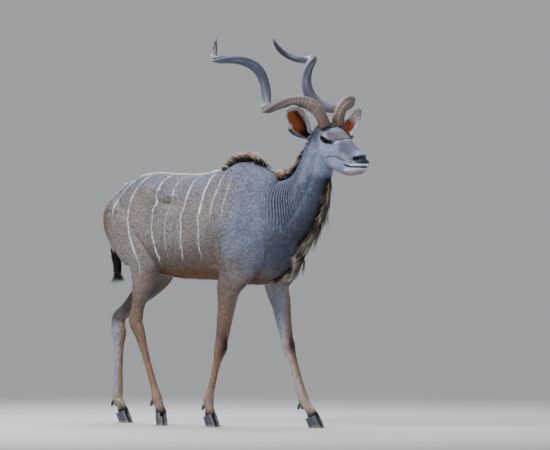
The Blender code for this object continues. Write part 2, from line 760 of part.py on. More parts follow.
def trim(item, cuts):
    """Cuts a node back to half the gap inside its planes."""
    for point, normal, where in cuts:
        slice_off(item, point - normal * GAP / 2, normal, where)
    keep_largest(item)
    clean(item)


def body_cuts():
    """Which planes bound each node, and how many triangles it gets."""
    head = head_plane()
    neck = NECK_PLANE

    def at_tail(place):
        stump = TAIL_STATIONS[3]
        return abs(place.y) < 0.045 and abs(place.x - stump[0]) < 0.027 and place.z > 1.0

    def at_front(place):
        return place.x > MIDDLE_X

    def at_back(place):
        return place.x < MIDDLE_X and not at_tail(place)

    nodes = {
        "head": ([(head[0], -head[1], None)], 2450),
        "neck": ([(head[0], head[1], None), (neck[0], -neck[1], None)], 700),
        "torso": ([
            (neck[0], neck[1], None), (level(FORE_CUT), DOWN, at_front),
            (level(HIND_CUT), DOWN, at_back), (level(TAIL_CUT), DOWN, at_tail),
        ], 1750),
    }
    for name, leg in LEGS.items():
        side = 1 if "left" in name else -1
        fore = name.startswith("fore")
        inner = (Vector((0, 0, 0)), Vector((0, -side, 0)), None)
        middle = (Vector((MIDDLE_X, 0, 0)), Vector((-1 if fore else 1, 0, 0)), None)
        top = (level(FORE_CUT if fore else HIND_CUT), UP, None)
        joint = level(KNEE_CUT if fore else HOCK_CUT)
        bottom = coronet_plane(leg)
        nodes[name + "_upper_leg"] = ([inner, middle, top, (joint, DOWN, None)], 300)
        nodes[name + "_lower_leg"] = (
            [inner, middle, (joint, UP, None), (bottom[0], bottom[1], None)], 430)
    return nodes


def claw(name, leg, side, collection):
    """Half of a cloven hoof: a flat sole, a steep wall and a slanted upper edge."""
    coronet = leg["coronet"]
    plane, normal = coronet_plane(leg)
    rings, outline = 3, 12
    length = CLAW_LENGTH[name[:4]]
    heel, toe_slope, heel_slope, spread = -0.16 * length, 0.60, 0.55, 0.0143
    inner_share, outer_share = 0.72, 1.12
    rise = math.hypot(normal.x, normal.y) / -normal.z
    points = []
    for ring in range(rings + 1):
        share = ring / rings
        for k in range(outline):
            turn = 2 * math.pi * k / outline
            along = 0.5 - 0.5 * math.cos(turn)
            reach = math.sin(turn) * side
            width = CLAW_HALF_WIDTH * (1.05 - 0.35 * along**3) * abs(reach) ** 0.75
            width *= inner_share if reach < 0 else outer_share
            x = heel + length * along
            z = (plane.z + (x - 0.02 * along) * rise + 0.004) * share
            squeeze = 1 - 0.08 * share if share else 0.985
            x -= z * (toe_slope * along**1.5 + heel_slope * (1 - along) ** 1.5)
            y = side * spread + math.copysign(width, math.sin(turn)) * squeeze
            points.append(Vector((x, y, z)))
    turned = Matrix.Rotation(leg["heading"], 3, "Z")
    points = [turned @ point + Vector((coronet[0], coronet[1], 0)) for point in points]
    faces = [
        (r * outline + k, r * outline + (k + 1) % outline,
         (r + 1) * outline + (k + 1) % outline, (r + 1) * outline + k)
        for r in range(rings) for k in range(outline)
    ]
    faces.append(tuple(reversed(range(outline))))
    faces.append(tuple(range(rings * outline, (rings + 1) * outline)))
    item = new_object(name, points, faces, collection)
    face_outwards(item)
    slice_off(item, plane + normal * GAP, -normal)
    clean(item)
    return item


HORN_ROOT = (0.101, 0.049, 0.086)
HORN_AXIS_TILT = (1.162, -0.285)
HORN_SPLAY = (0.196, -0.131)
HORN_START_TURN = -3.232
HORN_TURNS = 1.974
HORN_SWING = (0.083, 0.059)
HORN_SWING_POWER = 1.232
HORN_RADII = ((0.0, 0.0345), (0.08, 0.0325), (0.25, 0.0285), (0.40, 0.0290), (0.55, 0.0275),
              (0.70, 0.0245), (0.85, 0.0195), (0.94, 0.0125), (0.985, 0.0062), (1.0, 0.0022))


def horn_line(side, count):
    """Centre line of a horn, an open helix that leans back, and the way out from its axis."""
    share = np.linspace(0, 1, count)
    forward = np.array((math.cos(HEAD_YAW), math.sin(HEAD_YAW), 0))
    out = side * np.array((-math.sin(HEAD_YAW), math.cos(HEAD_YAW), 0))
    tilt = HORN_AXIS_TILT[0] + HORN_AXIS_TILT[1] * share
    splay = HORN_SPLAY[0] + HORN_SPLAY[1] * share
    axis = (
        (-np.sin(tilt) * np.cos(splay))[:, None] * forward
        + np.sin(splay)[:, None] * out
        + (np.cos(tilt) * np.cos(splay))[:, None] * np.array((0, 0, 1))
    )
    steps = (axis[1:] + axis[:-1]) / 2 * HORN_LENGTH / (count - 1)
    middle = np.vstack([np.zeros(3), np.cumsum(steps, 0)])
    first = out - (axis @ out)[:, None] * axis
    first /= np.linalg.norm(first, axis=1)[:, None]
    second = np.cross(axis, first) * side
    turn = HORN_START_TURN + 2 * math.pi * HORN_TURNS * share
    swing = HORN_SWING[0] * (1 - share) ** HORN_SWING_POWER + HORN_SWING[1] * share
    away = np.cos(turn)[:, None] * first + np.sin(turn)[:, None] * second
    line = middle + swing[:, None] * away
    root = np.array(head_point(HORN_ROOT[0], side * HORN_ROOT[1], HORN_ROOT[2]))
    return line - line[0] + root, away


def horn(name, side, collection):
    """A horn with its keel, from inside the skull to the tip."""
    count, sides, root_depth = 40, 10, 0.030
    line, away = horn_line(side, count)
    start = line[0] - line[1]
    root = line[0] + root_depth * start / np.linalg.norm(start)
    line = np.vstack([root, line])
    away = np.vstack([away[:1], away])
    share = np.concatenate([[0], np.linspace(0, 1, count)])
    radii = np.interp(share, *zip(*HORN_RADII))
    tangent = np.gradient(line, axis=0)
    tangent /= np.linalg.norm(tangent, axis=1)[:, None]
    across = away - (away * tangent).sum(1)[:, None] * tangent
    across /= np.linalg.norm(across, axis=1)[:, None]
    other = np.cross(tangent, across)
    turn = np.linspace(0, 2 * math.pi, sides, endpoint=False)
    keel = 1 + 0.20 * np.exp(-((np.angle(np.exp(1j * turn)) / 0.4) ** 2)) - 0.05
    points = []
    for centre, radius, first, second in zip(line, radii, across, other):
        for angle, edge in zip(turn, keel):
            points.append(centre + radius * edge * (math.cos(angle) * first + math.sin(angle) * second))
    rings = len(line)
    faces = [
        (r * sides + k, r * sides + (k + 1) % sides,
         (r + 1) * sides + (k + 1) % sides, (r + 1) * sides + k)
        for r in range(rings - 1) for k in range(sides)
    ]
    faces.append(tuple(reversed(range(sides))))
    faces.append(tuple(range((rings - 1) * sides, rings * sides)))
    item = new_object(name, points, faces, collection)
    face_outwards(item)
    return item


# The ears are turned each its own way: root, axis and the way the cup faces, with left positive
EAR_POSES = {
    "left": ((0.020, 0.084, -0.038), (-0.065, 0.685, 0.725), (0.880, -0.300, 0.060)),
    "right": ((0.000, -0.066, -0.008), (0.155, -0.726, 0.670), (0.835, -0.230, -0.500)),
}
# Share of the length, then half width and half angle round the cup: upper side, lower side
EAR_CUP = (
    (0.00, 0.038, 2.3, 0.044, 2.1), (0.14, 0.054, 2.0, 0.072, 1.75), (0.28, 0.067, 1.65, 0.096, 1.35),
    (0.40, 0.072, 1.45, 0.102, 1.10), (0.47, 0.073, 1.35, 0.080, 1.15), (0.60, 0.070, 1.2, 0.078, 1.1),
    (0.75, 0.060, 1.05, 0.068, 1.0), (0.88, 0.044, 0.9, 0.050, 0.9), (0.96, 0.026, 0.8, 0.030, 0.8),
    (1.00, 0.010, 0.7, 0.012, 0.7),
)


def ear(name, side, collection):
    """A leaf-shaped cup, open to the front."""
    rows, columns, thickness = 16, 9, 0.004
    axes = head_axes()

    root, axis, facing = EAR_POSES[name.removeprefix("ear_")]
    root = head_point(*root)
    axis = Matrix(axes).transposed() @ Vector(axis).normalized()
    facing = Matrix(axes).transposed() @ Vector(facing)
    facing = (facing - facing.dot(axis) * axis).normalized()
    across = axis.cross(facing) * side
    shares = [station[0] for station in EAR_CUP]
    points = []
    for row in range(rows):
        share = row / (rows - 1)
        upper, upper_angle, lower, lower_angle = (
            np.interp(share, shares, [station[k] for station in EAR_CUP]) for k in range(1, 5))
        sink = 0.3 * (upper / upper_angle + lower / lower_angle)
        bend = -0.010 * math.sin(math.pi * share)
        centre = root + axis * EAR_LENGTH * share + facing * (bend - sink)
        for column in range(columns):
            place = 2 * column / (columns - 1) - 1
            angle, width = (lower_angle, lower) if place > 0 else (upper_angle, upper)
            radius, turn = width / angle, angle * place
            points.append(centre + across * radius * math.sin(turn)
                          + facing * radius * (1 - math.cos(turn)))
    faces = [
        (r * columns + c, r * columns + c + 1, (r + 1) * columns + c + 1, (r + 1) * columns + c)
        for r in range(rows - 1) for c in range(columns - 1)
    ]
    item = new_object(name, points, faces, collection)
    solidify = item.modifiers.new("thickness", "SOLIDIFY")
    solidify.thickness = thickness
    solidify.offset = 0
    settle(item)
    face_outwards(item)
    return item


def eye(name, side, radius, collection):
    bpy.ops.mesh.primitive_uv_sphere_add(segments=14, ring_count=8, radius=radius)
    item = bpy.context.object
    item.name = name
    for holder in list(item.users_collection):
        holder.objects.unlink(item)
    collection.objects.link(item)
    place = head_point(EYE_CENTRE[0], side * EYEBALL_DEPTH, EYE_CENTRE[1])
    turn = head_axes()[1].to_track_quat("Z", "Y").to_matrix().to_4x4()
    item.data.transform(Matrix.Translation(place) @ turn)
    return item


def stand_at_middle(collection):
    """Moves the whole so that the origin is under the middle of its box."""
    points = np.vstack([read_points(item) for item in collection.objects])
    middle = (points.min(0) + points.max(0)) / 2
    for item in collection.objects:
        item.data.transform(Matrix.Translation((-middle[0], -middle[1], 0)))


def build():
    clear_scene()
    part = new_collection("greater_kudu")
    stock = new_collection("stock")
    hide = new_material("hide", HIDE)
    grey = new_material("neck_grey", NECK_GREY)
    keratin = new_material("horn_keratin", HORN_BROWN, 0.45)
    hoof = new_material("hoof_keratin", HOOF_BLACK, 0.4)
    wet_eye = new_material("wet_eye", EYE_DARK, 0.05)
    tuft_hair = new_material("tuft_hair", TUFT_BLACK, 0.7)

    pieces = trunk_pieces(stock) + leg_pieces(stock) + head_pieces(stock)
    pieces += tail_stump(stock)
    fine = fuse("fine_body", pieces, stock, FINE_VOXEL)
    relax(fine, 6)
    shape_body(fine)
    shape_head(fine)
    relax(fine, 1)

    made, cuts = {}, body_cuts()
    for name, (planes, triangles) in cuts.items():
        made[name] = carve(fine, name, planes, triangles, part)
    owners = {name: made[name] for name in ("head", "neck", "torso")}
    locks = {name: new_collection(name + "_locks") for name in owners}
    bpy.context.view_layer.update()
    for name, row in HAIR_ROWS.items():
        grow_row(name, row, owners, locks)
    for name in owners:
        combine(made[name], locks[name], "UNION")
        trim(made[name], cuts[name][0])
    for name in cuts:
        made[name].data.materials.clear()
        made[name].data.materials.append(grey if name in ("head", "neck") else hide)

    made["tail"] = tail("tail", part)
    made["tail"].data.materials.append(tuft_hair)
    for side_name, side in (("left", 1), ("right", -1)):
        sockets = new_collection("sockets")
        eye("socket", side, EYEBALL_RADIUS + GAP * 2, sockets)
        combine(made["head"], sockets, "DIFFERENCE")
        made["eye_" + side_name] = eye("eye_" + side_name, side, EYEBALL_RADIUS, part)
        made["eye_" + side_name].data.materials.append(wet_eye)
        for kind, maker, finish in (("horn", horn, keratin), ("ear", ear, hide)):
            item = maker(f"{kind}_{side_name}", side, part)
            cutters = new_collection("cutters")
            grown_copy(made["head"], GAP, cutters)
            grown_copy(made["neck"], GAP, cutters)
            combine(item, cutters, "DIFFERENCE")
            item.data.materials.clear()
            item.data.materials.append(finish)
            made[item.name] = item
    for name, leg in LEGS.items():
        for claw_name, side in (("left", 1), ("right", -1)):
            item = claw(f"{name}_{claw_name}_claw", leg, side, part)
            item.data.materials.append(hoof)
    stand_at_middle(part)
    for item in list(stock.objects):
        bpy.data.objects.remove(item)


build()
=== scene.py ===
import itertools
import json
import math
import random

import bmesh
import bpy
import numpy as np
from mathutils import Matrix, Vector

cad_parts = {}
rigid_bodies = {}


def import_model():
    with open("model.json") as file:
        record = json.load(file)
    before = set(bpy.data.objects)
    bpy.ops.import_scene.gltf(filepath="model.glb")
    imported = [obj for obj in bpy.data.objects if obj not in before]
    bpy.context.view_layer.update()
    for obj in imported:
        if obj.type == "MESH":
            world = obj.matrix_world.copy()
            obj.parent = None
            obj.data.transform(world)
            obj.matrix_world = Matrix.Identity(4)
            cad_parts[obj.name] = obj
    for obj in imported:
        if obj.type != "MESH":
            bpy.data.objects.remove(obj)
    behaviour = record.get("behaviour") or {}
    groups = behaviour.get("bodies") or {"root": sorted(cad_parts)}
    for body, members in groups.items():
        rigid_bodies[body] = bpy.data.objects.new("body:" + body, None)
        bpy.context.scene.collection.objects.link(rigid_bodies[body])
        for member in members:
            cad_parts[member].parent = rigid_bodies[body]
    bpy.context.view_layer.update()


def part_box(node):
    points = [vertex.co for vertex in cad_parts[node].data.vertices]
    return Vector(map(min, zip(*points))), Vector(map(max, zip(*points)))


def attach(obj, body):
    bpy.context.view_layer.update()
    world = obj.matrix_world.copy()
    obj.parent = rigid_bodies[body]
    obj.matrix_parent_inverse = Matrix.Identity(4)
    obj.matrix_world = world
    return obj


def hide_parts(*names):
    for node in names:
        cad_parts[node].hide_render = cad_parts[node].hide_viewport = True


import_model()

# The body is drawn in its own axes: x forward, y to the left, z up, from the ground under the withers.
headPose = {"skullBack": (0.523, 0.0195, 1.6056), "yaw": -0.19, "pitch": 0.25}


def headAxes():
    yaw, pitch = headPose["yaw"], headPose["pitch"]
    forward = Vector((math.cos(pitch) * math.cos(yaw), math.cos(pitch) * math.sin(yaw), -math.sin(pitch)))
    left = Vector((-math.sin(yaw), math.cos(yaw), 0))
    return forward, left, forward.cross(left)


def headPoint(along, left, up):
    axes = headAxes()
    return Vector(headPose["skullBack"]) + along * axes[0] + left * axes[1] + up * axes[2]


def headCoordinates(points):
    axes = np.array([list(axis) for axis in headAxes()])
    return (points - np.array(headPose["skullBack"])) @ axes.T


eyeShape = {
    "along": 0.15, "up": 0.013, "tilt": math.radians(-12), "depth": 0.0575,
    "halfLength": 0.03, "halfHeight": 0.012, "radius": 0.022,
}
eyeMiddle = sum(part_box("eye_left"), Vector()) / 2
frameShift = eyeMiddle - headPoint(eyeShape["along"], eyeShape["depth"], eyeShape["up"])
frameShift.z = 0
print("frame shift", [round(value, 4) for value in frameShift])


# Shared helpers

def newCollection(name, shown=True):
    collection = bpy.data.collections.new(name)
    if shown:
        bpy.context.scene.collection.children.link(collection)
    return collection


kudu = newCollection("greaterKudu")
workshop = newCollection("workshop")


def meshObject(name, points, faces, collection=workshop):
    mesh = bpy.data.meshes.new(name)
    mesh.from_pydata([tuple(p) for p in points], [], faces)
    mesh.update()
    item = bpy.data.objects.new(name, mesh)
    collection.objects.link(item)
    return item


def arrayObject(name, points, triangles, collection=workshop):
    mesh = bpy.data.meshes.new(name)
    mesh.vertices.add(len(points))
    mesh.vertices.foreach_set("co", np.asarray(points, np.float32).ravel())
    mesh.loops.add(triangles.size)
    mesh.loops.foreach_set("vertex_index", triangles.astype(np.int32).ravel())
    mesh.polygons.add(len(triangles))
    mesh.polygons.foreach_set("loop_start", np.arange(0, triangles.size, 3, dtype=np.int32))
    mesh.update(calc_edges=True)
    item = bpy.data.objects.new(name, mesh)
    collection.objects.link(item)
    return item


def faceOutwards(item):
    cage = bmesh.new()
    cage.from_mesh(item.data)
    bmesh.ops.recalc_face_normals(cage, faces=cage.faces)
    cage.to_mesh(item.data)
    cage.free()


def settle(item):  # applies the modifiers
    graph = bpy.context.evaluated_depsgraph_get()
    mesh = bpy.data.meshes.new_from_object(item.evaluated_get(graph), depsgraph=graph)
    item.modifiers.clear()
    item.data = mesh


def readPoints(mesh):
    points = np.empty(len(mesh.vertices) * 3, np.float32)
    mesh.vertices.foreach_get("co", points)
    return points.reshape(-1, 3).astype(float)


def readNormals(mesh):
    normals = np.empty(len(mesh.vertices) * 3, np.float32)
    mesh.vertex_normals.foreach_get("vector", normals)
    return normals.reshape(-1, 3).astype(float)


def readTriangles(mesh):
    corners = np.empty(len(mesh.loops), np.int32)
    mesh.loops.foreach_get("vertex_index", corners)
    return corners.reshape(-1, 3)


def writePoints(mesh, points):
    mesh.vertices.foreach_set("co", points.astype(np.float32).ravel())
    mesh.update()


storedKinds = {
    1: ("FLOAT", "value"), 2: ("FLOAT2", "vector"),
    3: ("FLOAT_VECTOR", "vector"), 4: ("FLOAT_COLOR", "color"),
}


def storeValues(mesh, name, values, domain="POINT"):
    values = np.asarray(values, np.float32)
    kind, key = storedKinds[1 if values.ndim == 1 else values.shape[1]]
    layer = mesh.attributes.new(name, kind, domain)
    layer.data.foreach_set(key, values.ravel())


def opaque(colours):
    return np.hstack([colours, np.ones((len(colours), 1))])


def smoothly(mesh):
    mesh.polygons.foreach_set("use_smooth", np.ones(len(mesh.polygons), bool))
    mesh.update()


def ease(low, high, value):  # 0 at low, 1 at high, on a soft curve
    share = np.clip((value - low) / (high - low), 0, 1)
    return share * share * (3 - 2 * share)


def rib(value, middle, width):  # 1 at the middle, falling off to both sides
    return np.exp(-(((value - middle) / width) ** 2))


def blob(points, centre, radii):
    away = (points - np.array(centre)) / np.array(radii)
    return np.exp(-(away**2).sum(1))


def blobs(points, marks):
    return sum(share * blob(points, centre, radii) for centre, radii, share in marks)


def lineDistance(places, line):
    nearest = np.full(len(places), 9.0)
    for start, end in zip(line, line[1:]):
        start, end = np.array(start), np.array(end)
        along = end - start
        share = np.clip((places - start) @ along / (along @ along), 0, 1)
        gap = np.linalg.norm(places - start - share[:, None] * along, axis=1)
        nearest = np.minimum(nearest, gap)
    return nearest


def alongSkin(lie, normals):
    lie = lie - (lie * normals).sum(1)[:, None] * normals
    return lie / (np.linalg.norm(lie, axis=1)[:, None] + 1e-9)


def tubeFaces(rings, sides):
    return [
        (r * sides + k, r * sides + (k + 1) % sides, (r + 1) * sides + (k + 1) % sides, (r + 1) * sides + k)
        for r in range(rings - 1) for k in range(sides)
    ]


def fanFaces(start, tip, sides):
    return [(start + k, start + (k + 1) % sides, tip) for k in range(sides)]


def linear(red, green, blue):  # screen colour to light
    values = np.array((red, green, blue)) / 255
    return np.where(values <= 0.04045, values / 12.92, ((values + 0.055) / 1.055) ** 2.4)


bothSides = (("left", 1), ("right", -1))


def finishPiece(item, nodes=()):
    for holder in list(item.users_collection):
        holder.objects.unlink(item)
    kudu.objects.link(item)
    if nodes:
        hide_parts(*nodes)
    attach(item, "root")


# Camera: a long lens from the animal's front right, a little above its back
photoView = {
    "turn": 42.0, "fall": 0.75, "distance": 60.0, "focal": 10920.0,
    "aim": (0.0, 0.0, 1.45), "pixel": (245.0, 163.0), "size": (550, 450),
}


def makeCamera():
    turn, fall = math.radians(photoView["turn"]), math.radians(photoView["fall"])
    forward = Vector((-math.sin(turn) * math.cos(fall), math.cos(turn) * math.cos(fall), -math.sin(fall)))
    right = Vector((math.cos(turn), math.sin(turn), 0))
    up = right.cross(forward)
    width, height = photoView["size"]
    across = (photoView["pixel"][0] - width / 2) / photoView["focal"]
    rise = (height / 2 - photoView["pixel"][1]) / photoView["focal"]
    sight = forward + across * right + rise * up
    place = Vector(photoView["aim"]) + frameShift - sight * photoView["distance"]
    camera = bpy.data.objects.new("viewCamera", bpy.data.cameras.new("viewCamera"))
    bpy.context.scene.collection.objects.link(camera)
    camera.matrix_world = Matrix.Translation(place) @ Matrix((right, up, -forward)).transposed().to_4x4()
    camera.data.sensor_width = 36
    camera.data.lens = photoView["focal"] * 36 / width
    camera.data.clip_start = 1
    camera.data.clip_end = 400
    bpy.context.scene.camera = camera


makeCamera()
print("camera set")


# Body forms

def smoothValues(stations, count):
    rows = np.array(stations, float)
    steps = np.linalg.norm(np.diff(rows[:, :3], axis=0), axis=1)
    places = np.concatenate([[0], np.cumsum(steps)])
    slopes = np.diff(rows, axis=0) / steps[:, None]
    tangents = np.vstack([slopes[:1], (slopes[1:] + slopes[:-1]) / 2, slopes[-1:]])
    for k in range(1, len(rows) - 1):
        turning = slopes[k - 1, 3:] * slopes[k, 3:] <= 0
        tangents[k, 3:][turning] = 0
    read = np.linspace(0, places[-1], count)
    span = np.clip(np.searchsorted(places, read, side="right") - 1, 0, len(steps) - 1)
    width = steps[span][:, None]
    t = (read - places[span])[:, None] / width
    return (
        (2 * t**3 - 3 * t**2 + 1) * rows[span]
        + (t**3 - 2 * t**2 + t) * width * tangents[span]
        + (3 * t**2 - 2 * t**3) * rows[span + 1]
        + (t**3 - t**2) * width * tangents[span + 1]
    )


def loft(name, stations, count=30, sides=26, lateral=(0, 1, 0)):
    # a station is x, y, z, half width, reach to the plus and minus sides, and their roundness
    rows = smoothValues(stations, count)
    centres = rows[:, :3]
    tangents = np.gradient(centres, axis=0)
    tangents /= np.linalg.norm(tangents, axis=1)[:, None]
    hint = np.array(lateral, float)
    across = hint - (tangents @ hint)[:, None] * tangents
    across /= np.linalg.norm(across, axis=1)[:, None]
    depth = np.cross(tangents, across)
    turn = np.linspace(0, 2 * np.pi, sides, endpoint=False)
    cosine, sine = np.cos(turn), np.sin(turn)
    points = []
    for row, centre, side, up in zip(rows, centres, across, depth):
        width, plus, minus, plusPower, minusPower = row[3:8]
        power = np.where(sine >= 0, plusPower, minusPower)
        reach = np.where(sine >= 0, plus, minus)
        wide = width * np.sign(cosine) * np.abs(cosine) ** (2 / power)
        deep = reach * np.sign(sine) * np.abs(sine) ** (2 / power)
        points.extend(centre + wide[:, None] * side + deep[:, None] * up)
    faces = tubeFaces(count, sides)
    faces.append(tuple(reversed(range(sides))))
    faces.append(tuple(range((count - 1) * sides, count * sides)))
    item = meshObject(name, points, faces)
    faceOutwards(item)
    return item


trunkForm = {
    "barrel": [
        (-0.972, 0, 1.175, 0.06, 0.07, 0.07, 2.0, 2.0),
        (-0.93, 0, 1.165, 0.108, 0.128, 0.105, 2.0, 2.0),
        (-0.86, 0, 1.155, 0.15, 0.188, 0.17, 2.1, 2.1),
        (-0.72, 0, 1.135, 0.186, 0.254, 0.25, 2.1, 2.2),
        (-0.55, 0, 1.1, 0.212, 0.288, 0.262, 2.0, 2.2),
        (-0.35, 0, 1.07, 0.232, 0.313, 0.258, 1.9, 2.2),
        (-0.15, 0, 1.06, 0.222, 0.348, 0.252, 1.8, 2.1),
        (0.0, 0, 1.06, 0.186, 0.403, 0.268, 1.7, 2.0),
        (0.1, 0, 1.06, 0.172, 0.4, 0.276, 1.7, 2.0),
        (0.22, 0, 1.07, 0.158, 0.342, 0.26, 1.9, 2.0),
        (0.33, 0, 1.08, 0.132, 0.262, 0.2, 2.0, 2.0),
        (0.4, 0, 1.1, 0.09, 0.14, 0.11, 2.0, 2.0),
        (0.43, 0, 1.105, 0.04, 0.06, 0.045, 2.0, 2.0),
    ],
    "neck": [
        (0.13, 0.0, 1.1, 0.15, 0.24, 0.24, 2.0, 2.0),
        (0.26, 0.0, 1.15, 0.135, 0.232, 0.22, 2.0, 2.0),
        (0.37, 0.0, 1.215, 0.116, 0.18, 0.185, 2.0, 2.0),
        (0.46, 0.0, 1.31, 0.095, 0.124, 0.138, 2.0, 2.0),
        (0.515, 0.002, 1.42, 0.081, 0.102, 0.112, 2.0, 2.0),
        (0.548, 0.008, 1.52, 0.074, 0.092, 0.105, 2.0, 2.0),
        (0.572, 0.01, 1.59, 0.068, 0.075, 0.085, 2.0, 2.0),
    ],
    "face": [  # along, middle, half width, top, bottom, and the roundness of each
        (0.0, -0.012, 0.056, 0.06, 0.07, 2.2, 2.0),
        (0.05, -0.01, 0.07, 0.088, 0.112, 2.3, 2.0),
        (0.1, -0.01, 0.077, 0.094, 0.134, 2.4, 1.9),
        (0.15, -0.014, 0.076, 0.092, 0.138, 2.5, 1.9),
        (0.2, -0.026, 0.066, 0.088, 0.13, 2.6, 1.9),
        (0.26, -0.046, 0.054, 0.084, 0.108, 2.6, 1.9),
        (0.33, -0.062, 0.047, 0.079, 0.084, 2.5, 2.0),
        (0.385, -0.06, 0.046, 0.067, 0.062, 2.4, 2.1),
        (0.418, -0.054, 0.043, 0.056, 0.046, 2.3, 2.2),
        (0.432, -0.05, 0.034, 0.04, 0.034, 2.2, 2.2),
        (0.44, -0.048, 0.018, 0.02, 0.02, 2.0, 2.0),
    ],
    "tail": [
        (-0.89, 0, 1.262, 0.062, 0.075, 0.046, 2, 2),
        (-0.95, 0, 1.232, 0.048, 0.06, 0.036, 2, 2),
        (-0.988, 0, 1.188, 0.036, 0.036, 0.028, 2, 2),
        (-1.006, 0, 1.13, 0.026, 0.02, 0.02, 2, 2),
        (-0.99, 0, 1.02, 0.023, 0.014, 0.016, 2, 2),
        (-0.96, 0, 0.91, 0.02, 0.012, 0.013, 2, 2),
        (-0.952, 0, 0.85, 0.014, 0.01, 0.01, 2, 2),
    ],
}

legForm = {
    "foreRight": {
        "shoulder": (0.15, -0.118, 1.03), "elbow": (0.014, -0.14, 0.775),
        "knee": (-0.07, -0.12, 0.445), "fetlock": (-0.168, -0.11, 0.14),
        "coronet": (-0.16, -0.108, 0.072), "girth": 1.0, "heading": -0.22, "node": "fore_right",
    },
    "foreLeft": {
        "shoulder": (0.19, 0.118, 1.03), "elbow": (0.112, 0.14, 0.785),
        "knee": (0.204, 0.128, 0.447), "fetlock": (0.335, 0.116, 0.148),
        "coronet": (0.4, 0.114, 0.07), "girth": 1.2, "heading": 0.0, "node": "fore_left",
    },
    "hindRight": {
        "hip": (-0.82, -0.105, 1.17), "stifle": (-0.61, -0.138, 0.905),
        "hock": (-0.695, -0.128, 0.575), "fetlock": (-0.55, -0.115, 0.155),
        "coronet": (-0.526, -0.11, 0.076), "girth": 1.0, "heading": -0.6, "node": "hind_right",
    },
    "hindLeft": {
        "hip": (-0.84, 0.105, 1.17), "stifle": (-0.745, 0.135, 0.85),
        "hock": (-1.062, 0.13, 0.575), "fetlock": (-1.058, 0.116, 0.14),
        "coronet": (-1.018, 0.114, 0.07), "girth": 1.28, "heading": -0.12, "node": "hind_left",
    },
}


def between(start, end, share, width, plus, minus, girth=1):
    place = [a + (b - a) * share for a, b in zip(start, end)]
    return (*place, width * girth, plus * girth, minus * girth, 2, 2)


def foreLeg(name, leg):
    shoulder, elbow, knee = leg["shoulder"], leg["elbow"], leg["knee"]
    fetlock, coronet, girth = leg["fetlock"], leg["coronet"], leg["girth"]
    stations = [
        (shoulder[0] - 0.06, shoulder[1] * 0.6, 1.3, 0.04, 0.07, 0.07, 2, 2),
        (shoulder[0] - 0.01, shoulder[1] * 0.86, 1.18, 0.062, 0.115, 0.115, 2, 2),
        (*shoulder, 0.068, 0.135, 0.13, 2, 2),
        (shoulder[0] * 0.6 + elbow[0] * 0.4, elbow[1] * 1.02, 0.9, 0.066, 0.118, 0.118, 2, 2),
        (elbow[0], elbow[1], elbow[2], 0.057, 0.078, 0.084, 2, 2),
        between(elbow, knee, 0.3, 0.049, 0.054 * girth, 0.058),
        between(elbow, knee, 0.65, 0.041, 0.044, 0.046),
        between(elbow, knee, 0.9, 0.034, 0.038, 0.038),
        (*knee, 0.036, 0.041, 0.037, 2.3, 2.2),
        between(knee, fetlock, 0.14, 0.031, 0.032, 0.034),
        between(knee, fetlock, 0.3, 0.023, 0.022, 0.026, girth),
        between(knee, fetlock, 0.6, 0.02, 0.019, 0.025, girth),
        between(knee, fetlock, 0.85, 0.022, 0.021, 0.028, girth),
        (*fetlock, 0.03, 0.028, 0.038, 2, 2),
        between(fetlock, coronet, 0.5, 0.027, 0.025, 0.029),
        (*coronet, 0.033, 0.032, 0.034, 2, 2),
        (coronet[0] + 0.008, coronet[1], coronet[2] - 0.02, 0.03, 0.03, 0.03, 2, 2),
    ]
    return loft(name, stations, 70, 24)


def hindLeg(name, leg):
    hip, stifle, hock = leg["hip"], leg["stifle"], leg["hock"]
    fetlock, coronet, girth = leg["fetlock"], leg["coronet"], leg["girth"]
    stations = [
        (hip[0], hip[1] * 0.55, hip[2] + 0.1, 0.06, 0.08, 0.08, 2, 2),
        (hip[0], hip[1], hip[2] - 0.02, 0.085, 0.15, 0.13, 2, 2),
        between(hip, stifle, 0.52, 0.08, 0.158, 0.15),
        between(hip, stifle, 0.92, 0.068, 0.11, 0.128),
        between(stifle, hock, 0.28, 0.054, 0.08, 0.08),
        between(stifle, hock, 0.58, 0.042, 0.05, 0.054),
        between(stifle, hock, 0.82, 0.032, 0.034, 0.048),
        (*hock, 0.033, 0.04, 0.05, 2.2, 2.2),
        between(hock, fetlock, 0.16, 0.03, 0.036, 0.036, girth),
        between(hock, fetlock, 0.34, 0.023, 0.025, 0.029, girth),
        between(hock, fetlock, 0.65, 0.02, 0.02, 0.024, girth),
        between(hock, fetlock, 0.88, 0.022, 0.022, 0.027, girth),
        (*fetlock, 0.029, 0.027, 0.036, 2, 2),
        between(fetlock, coronet, 0.5, 0.026, 0.025, 0.028),
        (*coronet, 0.031, 0.031, 0.033, 2, 2),
        (coronet[0] + 0.008, coronet[1], coronet[2] - 0.02, 0.029, 0.029, 0.029, 2, 2),
    ]
    return loft(name, stations, 74, 24)


def bodyPieces():
    pieces = [loft("barrel", trunkForm["barrel"], 44, 40), loft("neckTube", trunkForm["neck"], 30, 32)]
    face = [
        (*headPoint(along, 0, middle), width, top, bottom, upper, lower)
        for along, middle, width, top, bottom, upper, lower in trunkForm["face"]
    ]
    pieces.append(loft("face", face, 46, 36, lateral=headAxes()[1]))
    pieces.append(loft("tailTube", trunkForm["tail"], 40, 20))
    for name, leg in legForm.items():
        pieces.append((foreLeg if "hip" not in leg else hindLeg)(name + "Tube", leg))
    return pieces


